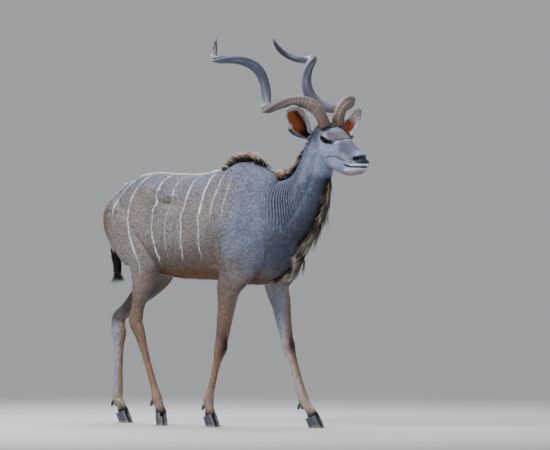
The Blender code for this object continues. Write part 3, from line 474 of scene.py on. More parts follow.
# Swellings and hollows, the same on both sides: centre, radii, height
bodyForms = {
    "bladeTop": ((-0.01, 0.09, 1.36), (0.055, 0.05, 0.06), 0.006),
    "shoulder": ((0.13, 0.17, 1.13), (0.1, 0.09, 0.12), 0.01),
    "shoulderPoint": ((0.285, 0.11, 1.01), (0.06, 0.06, 0.06), 0.01),
    "upperArm": ((0.04, 0.17, 0.93), (0.08, 0.07, 0.08), 0.01),
    "girth": ((-0.1, 0.2, 1.06), (0.05, 0.09, 0.16), -0.01),
    "flank": ((-0.56, 0.2, 1.13), (0.08, 0.09, 0.11), -0.014),
    "hipBone": ((-0.6, 0.14, 1.31), (0.05, 0.05, 0.04), 0.014),
    "hipHollow": ((-0.43, 0.185, 1.238), (0.075, 0.07, 0.024), -0.014),
    "loin": ((-0.44, 0.15, 1.292), (0.07, 0.06, 0.03), 0.008),
    "rump": ((-0.76, 0.16, 1.27), (0.08, 0.07, 0.05), -0.006),
    "thigh": ((-0.78, 0.17, 1.04), (0.11, 0.08, 0.13), 0.01),
    "neckBase": ((0.33, 0.11, 1.22), (0.06, 0.06, 0.1), -0.008),
    "shoulderFront": ((0.235, 0.13, 1.2), (0.022, 0.07, 0.12), -0.005),
    "armGroove": ((-0.035, 0.19, 0.96), (0.018, 0.08, 0.09), -0.006),
    "bladeRidge": ((0.045, 0.13, 1.28), (0.018, 0.06, 0.1), 0.003),
    "thighFront": ((-0.64, 0.18, 1.01), (0.03, 0.06, 0.09), -0.004),
    "pinBone": ((-0.9, 0.09, 1.21), (0.035, 0.035, 0.04), 0.005),
}
creases = (  # places to soften: centre, radii, steps
    ((0.43, 0.0, 1.03), (0.09, 0.15, 0.09), 12),
    ((-0.94, 0.0, 1.25), (0.06, 0.09, 0.07), 12),
    ((-0.59, 0.18, 1.01), (0.11, 0.09, 0.12), 40),
    ((-0.08, 0.16, 0.96), (0.06, 0.08, 0.12), 20),
)
headForms = {  # along, to the side, up
    "brow": ((0.145, 0.066, 0.038), (0.032, 0.022, 0.014), 0.006),
    "temple": ((0.08, 0.07, 0.03), (0.03, 0.03, 0.03), -0.004),
    "cheek": ((0.12, 0.07, -0.07), (0.055, 0.03, 0.04), 0.006),
    "tearHollow": ((0.21, 0.055, -0.004), (0.035, 0.03, 0.02), -0.005),
    "muzzleSide": ((0.385, 0.046, -0.05), (0.035, 0.02, 0.03), 0.004),
    "upperLip": ((0.425, 0.03, -0.048), (0.03, 0.02, 0.012), 0.003),
    "chin": ((0.4, 0.015, -0.104), (0.03, 0.025, 0.016), 0.005),
    "jawHollow": ((0.055, 0.07, -0.125), (0.03, 0.03, 0.03), -0.008),
    "cheekRidge": ((0.215, 0.062, -0.04), (0.05, 0.014, 0.006), 0.003),
    "underCheek": ((0.24, 0.052, -0.072), (0.05, 0.02, 0.014), -0.003),
    "noseSide": ((0.33, 0.04, -0.02), (0.05, 0.02, 0.016), -0.002),
}
lidForm = {  # distances as a multiple of the lid's rim
    "socket": (1.06, 0.86, 0.012),  # from, to, depth
    "rolls": (  # away, width, height, and 1 above the eye, -1 below it or 0 all round
        (1.22, 0.2, 0.0048, 0), (1.75, 0.12, -0.0016, 1), (2.05, 0.16, 0.0012, 1), (1.7, 0.1, -0.001, -1),
    ),
    "tearLine": ((0.172, 0.008), (0.186, 0.001), (0.196, -0.006)), "tear": (0.0, 0.0032, -0.0035),
}
mouthForm = {  # lines seen from the side, then away, width and height of what runs along them
    "line": ((0.318, -0.084), (0.345, -0.086), (0.38, -0.08), (0.415, -0.071), (0.452, -0.062)),
    "nostril": ((0.397, -0.029), (0.405, -0.028), (0.414, -0.025)),
    "slit": (0.0, 0.0038, -0.0075), "lips": (0.011, 0.006, 0.0022),
    "hole": (0.0, 0.0095, -0.015), "wing": (0.0175, 0.0045, 0.003), "noseGroove": (0.0, 0.0028, -0.0022),
}
neckLines = (  # along the side of the neck from the jaw down, then width and height
    (((0.548, 1.5), (0.515, 1.39), (0.465, 1.28), (0.4, 1.185)), 0.014, 0.004),
    (((0.585, 1.52), (0.56, 1.4), (0.52, 1.29), (0.46, 1.19), (0.39, 1.11)), 0.013, -0.005),
)
foldForm = {
    "spacing": 0.0185, "slant": 0.12, "level": 1.36, "sway": 0.004, "height": 0.0042,
    "centre": (0.345, 0.09, 1.262), "radii": (0.082, 0.1, 0.125),
}
tendonForm = {"behind": 0.01, "width": 0.007, "depth": 0.0035, "reach": 0.05}
skinForm = {"voxel": 0.004, "coatDepth": 0.003, "triangles": 186000, "featureReach": 0.012}


def relax(item, steps, share=0.5, weight=None):
    points = readPoints(item.data)
    edges = np.empty(len(item.data.edges) * 2, np.int32)
    item.data.edges.foreach_get("vertices", edges)
    first, second = edges[0::2], edges[1::2]
    number = np.bincount(edges, minlength=len(points))[:, None]
    pull = 1 if weight is None else weight[:, None]
    for step in range(steps * 2):
        total = np.zeros_like(points)
        for axis in range(3):
            total[:, axis] = np.bincount(first, points[second, axis], len(points))
            total[:, axis] += np.bincount(second, points[first, axis], len(points))
        factor = share if step % 2 == 0 else -share * 0.96
        points += factor * pull * (total / number - points)
    writePoints(item.data, points)


def refine(item, where):  # halves the faces round the chosen points
    cage = bmesh.new()
    cage.from_mesh(item.data)
    cage.verts.ensure_lookup_table()
    edges = [e for e in cage.edges if where[e.verts[0].index] and where[e.verts[1].index]]
    bmesh.ops.subdivide_edges(cage, edges=edges, cuts=1, use_grid_fill=True)
    cage.to_mesh(item.data)
    cage.free()


def mirrored(points):
    return points * (1, 0, 1) + np.abs(points) * (0, 1, 0)


def eyeReach(face):  # 1 on the rim of the lids
    across, up = face[:, 0] - eyeShape["along"], face[:, 2] - eyeShape["up"]
    long = across * math.cos(eyeShape["tilt"]) + up * math.sin(eyeShape["tilt"])
    high = -across * math.sin(eyeShape["tilt"]) + up * math.cos(eyeShape["tilt"])
    return np.hypot(long / eyeShape["halfLength"], high / eyeShape["halfHeight"]), long, high


def mouthDistance(face):
    return [lineDistance(face[:, [0, 2]], mouthForm[key]) for key in ("line", "nostril")]


def foldWave(points):  # creases where the neck meets the shoulder
    even = mirrored(points)
    sway = foldForm["sway"] * np.sin(even[:, 2] * 31)
    place = even[:, 0] - foldForm["slant"] * (foldForm["level"] - even[:, 2]) + sway
    return np.cos(2 * np.pi * place / foldForm["spacing"]), blob(even, foldForm["centre"], foldForm["radii"])


def tendonHollow(points, leg):  # between bone and tendon, below the knee or hock
    top, low = np.array(leg.get("knee", leg.get("hock"))), np.array(leg["fetlock"])
    along = low - top
    share = (points - top) @ along / (along @ along)
    back = (top + share[:, None] * along)[:, 0] - points[:, 0]
    near = (np.abs(points[:, 1] - top[1]) < tendonForm["reach"]) * (np.abs(back) < tendonForm["reach"])
    hollow = rib(back, tendonForm["behind"], tendonForm["width"])
    return tendonForm["depth"] * (hollow * ease(0.1, 0.25, share) * ease(0.98, 0.85, share)) * near


def shapeBody(item):
    points, normals = readPoints(item.data), readNormals(item.data)
    even = mirrored(points)
    lift = sum(height * blob(even, centre, radii) for centre, radii, height in bodyForms.values())
    for leg in legForm.values():
        lift -= tendonHollow(points, leg)
    writePoints(item.data, points + lift[:, None] * normals)
    for centre, radii, steps in creases:
        relax(item, steps, 0.6, blob(even, centre, radii))
    points, normals = readPoints(item.data), readNormals(item.data)
    wave, folded = foldWave(points)
    lift = foldForm["height"] * (wave - 1.2 * ease(0.6, 1.0, -wave)) * folded
    side = np.clip((np.abs(points[:, 1]) - 0.02) / 0.03, 0, 1) * (points[:, 0] > 0.2)
    lift += side * sum(
        height * rib(lineDistance(points[:, [0, 2]], line), 0, width) for line, width, height in neckLines
    )
    writePoints(item.data, points + lift[:, None] * normals)


def shapeHead(item):
    points, normals = readPoints(item.data), readNormals(item.data)
    face = headCoordinates(points)
    even = mirrored(face)
    lift = sum(height * blob(even, centre, radii) for centre, radii, height in headForms.values())
    inside, _, high = eyeReach(face)
    mouth, nostril = mouthDistance(face)
    tear = lineDistance(face[:, [0, 2]], lidForm["tearLine"])
    onSide = np.clip((even[:, 1] - 0.03) / 0.02, 0, 1) * (face[:, 0] < 0.23)
    nearMouth = (face[:, 0] > 0.3) * (face[:, 2] < 0)
    muzzle = (face[:, 0] > 0.37) * np.clip((even[:, 1] - 0.01) / 0.01, 0, 1)
    noseFront = ease(0.405, 0.42, face[:, 0]) * (face[:, 2] < -0.02)
    for away, width, height, lid in lidForm["rolls"]:
        lift += height * rib(inside, away, width) * onSide * (high * lid > 0 if lid else 1)
    low, high, depth = lidForm["socket"]
    lift -= depth * ease(low, high, inside) * onSide
    for distance, (away, width, height), where in (
        (tear, lidForm["tear"], onSide),
        (mouth, mouthForm["slit"], nearMouth), (mouth, mouthForm["lips"], nearMouth),
        (nostril, mouthForm["hole"], muzzle), (nostril, mouthForm["wing"], muzzle),
        (even[:, 1], mouthForm["noseGroove"], noseFront),
    ):
        lift += height * rib(distance, away, width) * where
    writePoints(item.data, points + lift[:, None] * normals)


def headRegion(points):
    face = headCoordinates(points)
    chosen = (face[:, 0] > 0.0) * (face[:, 2] > -0.18 - 0.6 * np.clip(0.03 - face[:, 0], 0, 1))
    return chosen | (foldWave(points)[1] > 0.15)


def featureRegion(points):  # eyes, mouth and nostrils
    face = headCoordinates(points)
    mouth, nostril = mouthDistance(face)
    chosen = (eyeReach(face)[0] < 1.9) * (np.abs(face[:, 1]) > 0.04) * (face[:, 0] > 0.1)
    chosen |= (mouth < skinForm["featureReach"]) * (face[:, 0] > 0.31)
    return chosen | ((nostril < skinForm["featureReach"] * 1.5) * (face[:, 0] > 0.37))


def thinSkin(item, points):  # fewer triangles where the form is plain
    face = headCoordinates(points)
    item.data.calc_loop_triangles()
    full = len(item.data.loop_triangles)
    weight = ease(-0.02, 0.06, face[:, 0]) * (face[:, 2] > -0.22) * 0.5
    weight += 0.5 * ease(0.02, 0.0, mouthDistance(face)[0] - 0.01) * (face[:, 0] > 0.3)
    weight += 0.5 * (eyeReach(face)[0] < 1.8) * (face[:, 0] > 0.1) * (np.abs(face[:, 1]) > 0.04)
    weight += 0.3 * ease(0.1, 0.3, foldWave(points)[1])
    group = item.vertex_groups.new(name="fineness")
    for level in range(1, 11):
        chosen = np.nonzero(np.round(np.clip(weight, 0, 1) * 10) == level)[0]
        group.add(chosen.tolist(), level / 10, "REPLACE")
    thin = item.modifiers.new("thin", "DECIMATE")
    thin.ratio = skinForm["triangles"] / full
    thin.vertex_group = "fineness"
    thin.invert_vertex_group = True
    thin.vertex_group_factor = 1.0
    thin.use_collapse_triangulate = True
    settle(item)
    item.vertex_groups.clear()
    print("skin", full, "->", len(item.data.polygons))


def makeSkin():
    whole = bmesh.new()
    for piece in bodyPieces():
        whole.from_mesh(piece.data)
    item = meshObject("skin", [], [])
    whole.to_mesh(item.data)
    whole.free()
    remesh = item.modifiers.new("remesh", "REMESH")
    remesh.mode = "VOXEL"
    remesh.voxel_size = skinForm["voxel"]
    settle(item)
    relax(item, 6)
    for region in (headRegion, featureRegion):
        refine(item, region(readPoints(item.data)))
    relax(item, 2)
    shapeBody(item)
    shapeHead(item)
    points, normals = readPoints(item.data), readNormals(item.data)
    face = headCoordinates(points)
    bare = ease(0.05, 0.0, np.abs(eyeReach(face)[0] - 0.9)) * (face[:, 0] > 0.1)
    depth = skinForm["coatDepth"] * (1 - 0.6 * ease(0.0, 0.3, face[:, 0]) * (face[:, 2] > -0.2)) * (1 - bare)
    writePoints(item.data, points - depth[:, None] * normals)
    thinSkin(item, points)
    return item


skin = makeSkin()


# Markings, the lie of the coat and its length, for every point of the skin
stripeForm = {  # rear to front: strength, then height and place from the top down
    "outside": 0.1,  # the gap taken before the first and after the last
    "rows": (
        (0.8, (1.34, -0.785), (1.312, -0.83), (1.275, -0.872), (1.233, -0.895), (1.185, -0.908)),
        (0.85, (1.356, -0.745), (1.325, -0.778), (1.289, -0.808), (1.253, -0.824), (1.214, -0.826),
         (1.162, -0.816)),
        (1.0, (1.38, -0.66), (1.337, -0.674), (1.281, -0.708), (1.226, -0.713), (1.133, -0.705),
         (1.072, -0.692), (1.006, -0.668), (0.951, -0.639), (0.885, -0.598)),
        (1.0, (1.385, -0.524), (1.332, -0.505), (1.294, -0.511), (1.25, -0.499), (1.212, -0.481),
         (1.151, -0.493), (1.09, -0.499), (1.03, -0.489), (0.969, -0.471), (0.897, -0.462)),
        (0.22, (1.36, -0.405), (1.314, -0.396), (1.284, -0.378), (1.229, -0.365), (1.174, -0.391),
         (1.108, -0.393), (1.026, -0.39), (0.942, -0.4)),
        (1.0, (1.385, -0.31), (1.317, -0.282), (1.257, -0.276), (1.202, -0.285), (1.142, -0.284),
         (1.076, -0.276), (1.005, -0.276), (0.92, -0.29)),
        (1.0, (1.39, -0.18), (1.324, -0.159), (1.274, -0.159), (1.214, -0.156), (1.148, -0.152),
         (1.088, -0.143), (1.028, -0.132), (0.93, -0.14)),
        (0.72, (1.38, -0.08), (1.319, -0.066), (1.283, -0.084), (1.231, -0.091), (1.176, -0.093),
         (1.145, -0.089)),
        (0.45, (1.366, 0.0), (1.303, -0.019), (1.264, -0.021), (1.209, -0.024), (1.15, -0.033)),
    ),
}
coatColour = {
    "flank": linear(140, 131, 127), "shoulder": linear(117, 124, 144), "rump": linear(138, 127, 121),
    # back is a bluish grey that stands in for sky light: painted sky light on upward-facing skin and on the
    # loin
    "back": linear(116, 117, 136), "lowFlank": linear(100, 84, 76), "rumpRear": linear(120, 92, 72),
    # chest also serves as painted shade on the front of the neck
    "elbow": linear(98, 86, 80), "chest": linear(68, 70, 84), "belly": linear(134, 96, 66),
    # hollow is painted shade for the body's hollows
    "hollow": linear(78, 66, 60), "branch": linear(168, 148, 132), "shin": linear(190, 174, 164),
    # the dark inner-thigh colour is painted shade between the hind legs
    "legOuter": linear(126, 107, 94), "legInner": linear(158, 162, 178), "innerThighShade": linear(72, 64, 62),
    "legFront": linear(150, 112, 84), "lowLeg": linear(152, 124, 102), "foot": linear(168, 148, 132),
    # the fold colours are painted shade in the fold grooves and a painted highlight on their crests
    "dark": linear(52, 42, 38), "hoofHair": linear(24, 22, 25), "foldGrooveShade": linear(30, 35, 48),
    "foldCrestHighlight": linear(150, 162, 186), "head": linear(140, 151, 176), "cheek": linear(161, 175, 202),
    "forehead": linear(108, 102, 112), "bridge": linear(96, 92, 116), "nose": linear(40, 47, 64),
    # nostril is painted shade in the nostril openings
    "nostril": (0.003, 0.003, 0.004), "white": linear(226, 230, 236), "brown": linear(92, 78, 76),
    "chin": linear(148, 124, 106), "brow": linear(190, 194, 204), "cheekRear": linear(92, 98, 112),
    # the jaw colour is painted shade on the underside of the jaw
    "temple": linear(78, 84, 98), "dapple": linear(104, 104, 116), "underJawShade": linear(112, 108, 110),
    # lid darkens the eyelids and, along the mouth, is painted shade in the mouth slit
    "lid": linear(12, 10, 12), "pale": linear(176, 180, 190), "neck": linear(99, 108, 130),
    "tail": linear(96, 80, 68), "ridge": linear(168, 164, 162), "mane": linear(44, 34, 30),
}
bodyMarks = {  # on both sides: centre, radii, strength
    "elbow": (((0.105, 0.2, 0.905), (0.095, 0.1, 0.055), 0.8),),
    # painted shade in the hollows of the hip, behind the shoulder and on the flank
    "hollows": (
        ((-0.43, 0.185, 1.238), (0.075, 0.06, 0.017), 1.0), ((-0.56, 0.15, 1.25), (0.04, 0.08, 0.05), 0.5),
        ((-0.055, 0.18, 1.04), (0.05, 0.09, 0.105), 0.7), ((-0.18, 0.2, 1.02), (0.1, 0.09, 0.07), 0.3),
        ((-0.53, 0.2, 0.965), (0.045, 0.09, 0.05), 0.5),
    ),
    # the loin mark is painted sky light on the rise of the loin
    "loin": (((-0.44, 0.16, 1.29), (0.07, 0.06, 0.03), 0.6),),
    "branch": ((-0.305, 1.271), (-0.361, 1.229), (-0.391, 1.18)),  # a pale line, seen from the side
}
headMarks = {  # the same along the head, to the side and up
    "cheek": (((0.19, 0.06, -0.045), (0.11, 0.06, 0.055), 1.0),),
    "forehead": (
        ((0.205, 0.0, 0.05), (0.05, 0.085, 0.026), 1.0), ((0.18, 0.06, 0.046), (0.05, 0.03, 0.012), 1.0),
    ),
    "underCheek": (((0.262, 0.05, -0.05), (0.05, 0.04, 0.012), 0.35),),
    "jawLight": (((0.215, 0.06, -0.11), (0.05, 0.04, 0.016), 0.35),),
    "whiskers": (((0.375, 0.045, -0.036), (0.03, 0.03, 0.02), 0.85),),
    "cheekRear": (((0.1, 0.07, -0.02), (0.022, 0.03, 0.06), 0.35),),
    "earSpot": (((0.035, 0.08, -0.055), (0.018, 0.03, 0.014), 0.8),),
    "temple": (((0.06, 0.075, 0.02), (0.03, 0.04, 0.045), 0.75),),
}
faceLines = {
    "chevron": ((0.223, 0.062, 0.012), (0.236, 0.05, 0.02), (0.257, 0.03, 0.031), (0.266, 0.012, 0.038)),
    "eyeCorner": ((0.178, 0.066, 0.016), (0.198, 0.064, 0.02), (0.214, 0.06, 0.013)),
    "noseLine": ((0.268, 0.04, 0.018), (0.3, 0.034, 0.006)),
    "jawCrease": (
        (0.172, 0, -0.085), (0.198, 0, -0.068), (0.228, 0, -0.06), (0.262, 0, -0.058), (0.325, 0, -0.062),
    ),
    "lidLine": ((0.12, 0, 0.02), (0.15, 0, 0.014), (0.178, 0, 0.009), (0.196, 0, 0.007)),
}
coatForm = {
    "length": {  # the belly's is added to the trunk's
        "trunk": 0.011, "belly": 0.008, "leg": 0.0085, "foot": 0.0065, "head": 0.006, "muzzle": 0.004,
    },
    "density": {"body": 90000, "head": 260000}, "sway": 0.1,
    "lie": {
        "trunk": (-0.93, 0.0, -0.36), "rump": (-0.45, 0.0, -0.88), "neck": (-0.4, 0.0, -0.9),
        "leg": (-0.12, 0.0, -0.99), "tail": (0.05, 0.0, -1.0), "head": (-0.95, 0.0, 0.05),
    },
}


def stripeValues(points):
    height, x = points[:, 2], points[:, 0]
    lines, hold, slant = [], [], []
    for strength, *marks in stripeForm["rows"]:
        levels, places = np.array(marks[::-1]).T
        near = [np.interp(height + step, levels, places) for step in (-0.036, -0.018, 0, 0.018, 0.036)]
        lines.append(sum(near) / 5)
        slant.append((near[4] - near[0]) / 0.072)
        hold.append(strength * ease(levels[-1] + 0.012, levels[-1] - 0.01, height)
                    * ease(levels[0] - 0.02, levels[0] + 0.05, height))
    lines, hold, slant = (np.stack(rows, 1) for rows in (lines, hold, slant))
    lines = np.maximum.accumulate(lines + np.arange(lines.shape[1]) * 1e-4, axis=1)
    last = lines.shape[1] - 1
    outside = stripeForm["outside"]
    phase = np.where(x < lines[:, 0], (x - lines[:, 0]) / outside, last + (x - lines[:, last]) / outside)
    gap = np.full(len(x), outside)
    for k in range(last):
        here = (x >= lines[:, k]) * (x < lines[:, k + 1])
        width = np.maximum(lines[:, k + 1] - lines[:, k], 1e-4)
        phase = np.where(here, k + (x - lines[:, k]) / width, phase)
        gap = np.where(here, width, gap)
    nearest = np.clip(np.round(phase), 0, last).astype(int)
    order = np.arange(len(x))
    gap = gap / np.sqrt(1 + slant[order, nearest] ** 2)
    strength = hold[order, nearest] * (np.abs(phase - nearest) < 0.6)
    return phase, gap, strength * (np.abs(points[:, 1]) > 0.012) * (height > 0.86)


def blend(base, colour, share):
    return base + (np.asarray(colour) - base) * np.clip(share, 0, 1)[:, None]


def painted(tint, layers):
    for colour, share in layers:
        tint = blend(tint, coatColour[colour], share)
    return tint


def regionShares(points, face):
    x, _, z = points.T
    along, _, up = face.T
    tailLine = [station[:3] for station in trunkForm["tail"]]
    tail = ease(0.046, 0.036, lineDistance(points, tailLine)) * ease(1.24, 1.2, z) * (x < -0.93)
    return {
        "head": ease(-0.01, 0.05, along) * ease(-0.22, -0.17, up + 0.15 * ease(0.1, 0.0, along)),
        "leg": ease(0.86, 0.66, z),
        "neck": ease(0.2, 0.42, x + 0.35 * (z - 1.15)) * (z > 0.7),
        "tail": tail * ((x < -0.985) | (z < 1.05)),
    }


def faceShares(face):
    along, _, up = face.T
    even = mirrored(face)
    mouth, nostril = mouthDistance(face)
    return {
        "pad": ease(0.406, 0.418, along + 0.15 * (up + 0.03)) * ease(-0.05, -0.042, up) * (along > 0.38),
        "hole": ease(0.015, 0.0115, nostril) * (along > 0.36) * (even[:, 1] > 0.009),
        "onEye": (along > 0.09) * (along < 0.23) * (even[:, 1] > 0.04), "mouth": mouth,
    }


def legTint(points, normals):
    x, y, z = points.T
    outer = normals[:, 1] * (np.sign(y) + (y == 0))
    return painted(np.tile(coatColour["legOuter"], (len(x), 1)), (
        ("legInner", ease(0.0, -0.55, outer)),
        ("shin", ease(0.0, -0.5, outer) * ease(0.55, 0.42, z) * (x > -0.3) * 0.8),
        # painted shade on the inner thighs between the hind legs
        ("innerThighShade", ease(-0.1, -0.6, outer) * ease(-0.45, -0.55, x) * ease(0.48, 0.62, z)),
        ("lowLeg", ease(0.52, 0.36, z) * ease(-0.3, 0.2, outer) * 0.9),
        ("legFront", ease(0.3, 0.9, normals[:, 0]) * ease(0.7, 0.5, z) * 0.8),
        ("foot", ease(0.26, 0.12, z) * 0.8),
    ))


def footTint(tint, points, leg):  # dark knee, dark hair above the hoof and behind the fetlock
    knee, coronet, fetlock = leg.get("knee"), leg["coronet"], leg["fetlock"]
    if knee:
        patch = blob(points, (knee[0] + 0.034, knee[1] + 0.004, knee[2] + 0.008), (0.026, 0.034, 0.046))
        tint = painted(tint, [("dark", patch * 1.7)])
    ahead = points[:, 0] - coronet[0]
    away = np.hypot(ahead, points[:, 1] - coronet[1])
    band = ease(0.034, 0.016, np.abs(points[:, 2] - (coronet[2] - 0.012 + 0.3 * ahead))) * (away < 0.08)
    heel = blob(points, (fetlock[0] - 0.03, fetlock[1], fetlock[2] - 0.03), (0.018, 0.03, 0.026))
    return painted(tint, (("hoofHair", band), ("hoofHair", heel * 1.4)))


def bodyTint(points, normals, share, under):
    x, y, z = points.T
    even = mirrored(points)
    edge = 0.03 * np.sin(17 * z + 2) + 0.02 * np.sin(41 * z)
    branch = lineDistance(even[:, [0, 2]], bodyMarks["branch"])
    tint = painted(np.tile(coatColour["flank"], (len(x), 1)), (
        ("rump", ease(-0.45, -0.8, x) * 0.8),
        ("rumpRear", ease(-0.8, -0.93, x) * ease(1.28, 1.16, z) * 0.9),
        # painted sky light: skin that faces up turns bluish grey
        ("back", ease(0.25, 0.8, normals[:, 2]) * 0.8),
        ("lowFlank", ease(1.06, 0.9, z) * ease(-0.62, -0.48, x) * ease(0.1, 0.0, x) * 0.85),
        ("shoulder", ease(-0.09, 0.1, x + edge) * ease(0.8, 0.98, z + 0.3 * x)),
        ("neck", share["neck"]),
        ("elbow", blobs(even, bodyMarks["elbow"])),
        ("chest", ease(0.16, 0.34, x) * ease(1.18, 1.02, z - 0.5 * (x - 0.3)) * (x < 0.62) * 0.85),
        # painted shade in the body's hollows
        ("hollow", blobs(even, bodyMarks["hollows"]) * 0.8),
        # painted sky light on the loin
        ("back", blobs(even, bodyMarks["loin"])),
        ("branch", ease(0.01, 0.003, branch) * (even[:, 1] > 0.1) * 0.6),
        ("belly", under),
    ))
    tint = blend(tint, legTint(points, normals), share["leg"])
    for leg in legForm.values():
        tint = footTint(tint, points, leg)
    nape = ease(0.024, 0.012, np.abs(y - 0.02 * ease(0.3, 0.5, x))) * (normals[:, 2] > 0)
    throat = ease(0.034, 0.014, np.abs(y)) * (normals[:, 2] < 0.1) * ease(0.18, 0.26, x) * (z > 0.8)
    wave, folded = foldWave(points)
    tail = share["tail"]
    return painted(tint, (
        ("ridge", ease(0.02, 0.008, np.abs(y)) * ease(1.1, 1.25, z) * ease(-0.1, -0.2, x) * 0.8),
        ("mane", nape * ease(-0.2, -0.1, x) * (share["head"] < 0.5)),
        ("mane", throat * (share["head"] < 0.3) * 0.9),
        # painted shade on the forward-facing side of the neck
        ("chest", ease(0.25, 0.8, normals[:, 0]) * share["neck"] * (z > 0.95) * 0.6),
        # painted shade in the grooves of the neck folds and a painted highlight on their crests
        ("foldGrooveShade", ease(0.35, 0.9, -wave) * folded * 1.8),
        ("foldCrestHighlight", ease(0.5, 1.0, wave) * folded * 0.7),
        ("tail", tail),
        ("white", tail * ease(0.3, 0.9, np.abs(normals[:, 1])) * ease(0.93, 1.0, z) * 0.4),
        ("dark", tail * ease(0.98, 0.9, z)),
    ))


def headTint(face, facing, part):
    along, _, up = face.T
    even, flat = mirrored(face), face * (1, 0, 1)
    mouth, onEye = part["mouth"], part["onEye"]
    inside, long, high = eyeReach(face)
    mark = {key: blobs(even, marks) for key, marks in headMarks.items()}
    above = lineDistance(even + (0.01, 0, -0.009), faceLines["chevron"])
    away = {key: lineDistance(even, faceLines[key]) for key in ("chevron", "eyeCorner", "noseLine")}
    away.update({key: lineDistance(flat, faceLines[key]) for key in ("jawCrease", "lidLine")})
    slim = 0.0062 - 0.0022 * ease(0.225, 0.265, along)
    streaks = 0.5 + 0.5 * np.sin(even[:, 1] * 420 + 3 * np.sin(along * 60))
    lip = (up > -0.084 + 0.18 * (along - 0.345)) * ease(0.366, 0.38, along)
    brow = ease(0.016, 0.006, np.hypot((long + 0.01) / 1.9, high - 0.0235))
    dapple = np.sin(along * 210 + 2) * np.sin(up * 260 + along * 90) + 0.6 * np.sin(along * 97 - up * 140)
    return painted(np.tile(coatColour["head"], (len(face), 1)), (
        ("cheek", mark["cheek"]),
        ("bridge", ease(0.235, 0.28, along) * ease(-0.045, -0.01, up) * ease(0.4, 0.34, along) * 0.9),
        ("forehead", mark["forehead"] * 1.1),
        ("dark", ease(0.12, 0.06, along) * ease(0.3, 0.8, facing) * (0.25 + 0.45 * streaks)),
        ("dark", ease(0.013, 0.004, above) * 0.65),
        ("dark", ease(0.009, 0.004, away["eyeCorner"]) * 0.85),
        ("white", ease(slim + 0.0018, slim - 0.0018, away["chevron"])),
        ("brown", ease(0.007, 0.002, away["jawCrease"]) * (along > 0.1) * 0.75),
        ("brown", mark["underCheek"]),
        ("white", mark["jawLight"]),
        ("brown", mark["whiskers"]),
        ("brown", ease(0.006, 0.002, away["noseLine"]) * 0.6),
        ("white", ease(0.0175, 0.0125, mouth) * lip * 0.95),
        ("white", ease(-0.088, -0.094, up - 0.22 * (along - 0.36)) * ease(0.305, 0.335, along) * 0.85),
        ("chin", ease(-0.104, -0.114, up - 0.3 * (along - 0.36)) * ease(0.27, 0.33, along) * 0.75),
        ("nose", part["pad"]),
        # painted shade in the nostril openings
        ("nostril", part["hole"]),
        # painted shade in the mouth slit
        ("lid", ease(0.005, 0.0028, mouth) * (along > 0.305) * (up < 0)),
        ("brow", brow * onEye * 0.75),
        ("pale", ease(0.3, 0.0, np.abs(inside - 1.6)) * onEye * ease(0.004, -0.006, high) * 0.4),
        ("lid", ease(0.0115, 0.007, away["lidLine"]) * onEye),
        ("lid", ease(1.36, 1.2, inside) * onEye),
        ("cheekRear", mark["cheekRear"]),
        ("pale", mark["earSpot"]),
        ("temple", mark["temple"]),
        ("dapple", ease(0.4, 1.3, dapple) * ease(-0.14, -0.05, -np.abs(up + 0.03)) * 0.3),
        # painted shade on the underside of the jaw, where the skin faces down
        ("underJawShade", ease(-0.3, -0.9, facing) * ease(0.34, 0.28, along) * 0.6),
    ))


def coatLie(points, normals, along, share):
    x, _, z = points.T
    lies = coatForm["lie"]
    lie = np.tile(lies["trunk"], (len(x), 1))
    for part, weight in (("rump", ease(-0.7, -0.92, x)), ("neck", share["neck"]), ("leg", share["leg"]),
                         ("tail", share["tail"])):
        lie = blend(lie, lies[part], weight)
    lie = blend(lie, np.array(lies["head"]) @ np.array(headAxes()), share["head"] * ease(0.06, 0.12, along))
    sway = np.stack([np.sin(9 * z + 5 * x), np.sin(7 * x + 4 * z), np.cos(8 * x - 6 * z)], 1)
    return alongSkin(lie + coatForm["sway"] * sway, normals)


def skinValues(points, normals):
    z = points[:, 2]
    face = headCoordinates(points)
    along, _, up = face.T
    share, part = regionShares(points, face), faceShares(face)
    head, leg, foot = share["head"], share["leg"], ease(0.35, 0.15, z)
    under = ease(-0.45, -0.8, normals[:, 2]) * ease(0.9, 0.82, z) * ease(0.3, 0.12, points[:, 0])
    facing = normals @ np.array(headAxes()[2])
    tint = blend(bodyTint(points, normals, share, under), headTint(face, facing, part), head)
    lid = ease(1.28, 1.1, eyeReach(face)[0]) * part["onEye"]
    lips = ease(0.006, 0.003, part["mouth"]) * (along > 0.31) * (up < 0)
    bald = np.clip(part["pad"] + part["hole"] + lid + lips, 0, 1)
    lengths, densities = coatForm["length"], coatForm["density"]
    length = lengths["trunk"] + lengths["belly"] * under
    muzzle = head * ease(0.25, 0.38, along)
    for key, weight in (("leg", leg), ("foot", foot), ("head", head), ("muzzle", muzzle)):
        length += (lengths[key] - length) * weight
    density = densities["body"] * (1 + 0.6 * leg + 0.6 * foot) * (1 - bald) * (1 - head)
    density = density + densities["head"] * head * (1 + 0.5 * ease(0.3, 0.4, along)) * (1 - bald)
    phase, gap, hold = stripeValues(points)
    return {
        "tint": opaque(tint), "lie": coatLie(points, normals, along, share), "coatDensity": density,
        "coatLength": length * (1 - bald), "stripePhase": phase, "stripeGap": gap, "stripeHold": hold,
        "wet": part["pad"] * (1 - part["hole"]), "up": normals, "head": head, "leg": leg,
    }


skinPoints, skinNormals = readPoints(skin.data), readNormals(skin.data)
skinTriangles = readTriangles(skin.data)
values = skinValues(skinPoints, skinNormals)
print("markings drawn")


unwrapForm = {  # places on the sheet: size of a view, first corner, step to the next and columns
    "trunk": (0.32, (0.01, 0.01), (0.33, 0.33), 3), "legs": (0.115, (0.005, 0.67), (0.124, 0.11), 8),
}


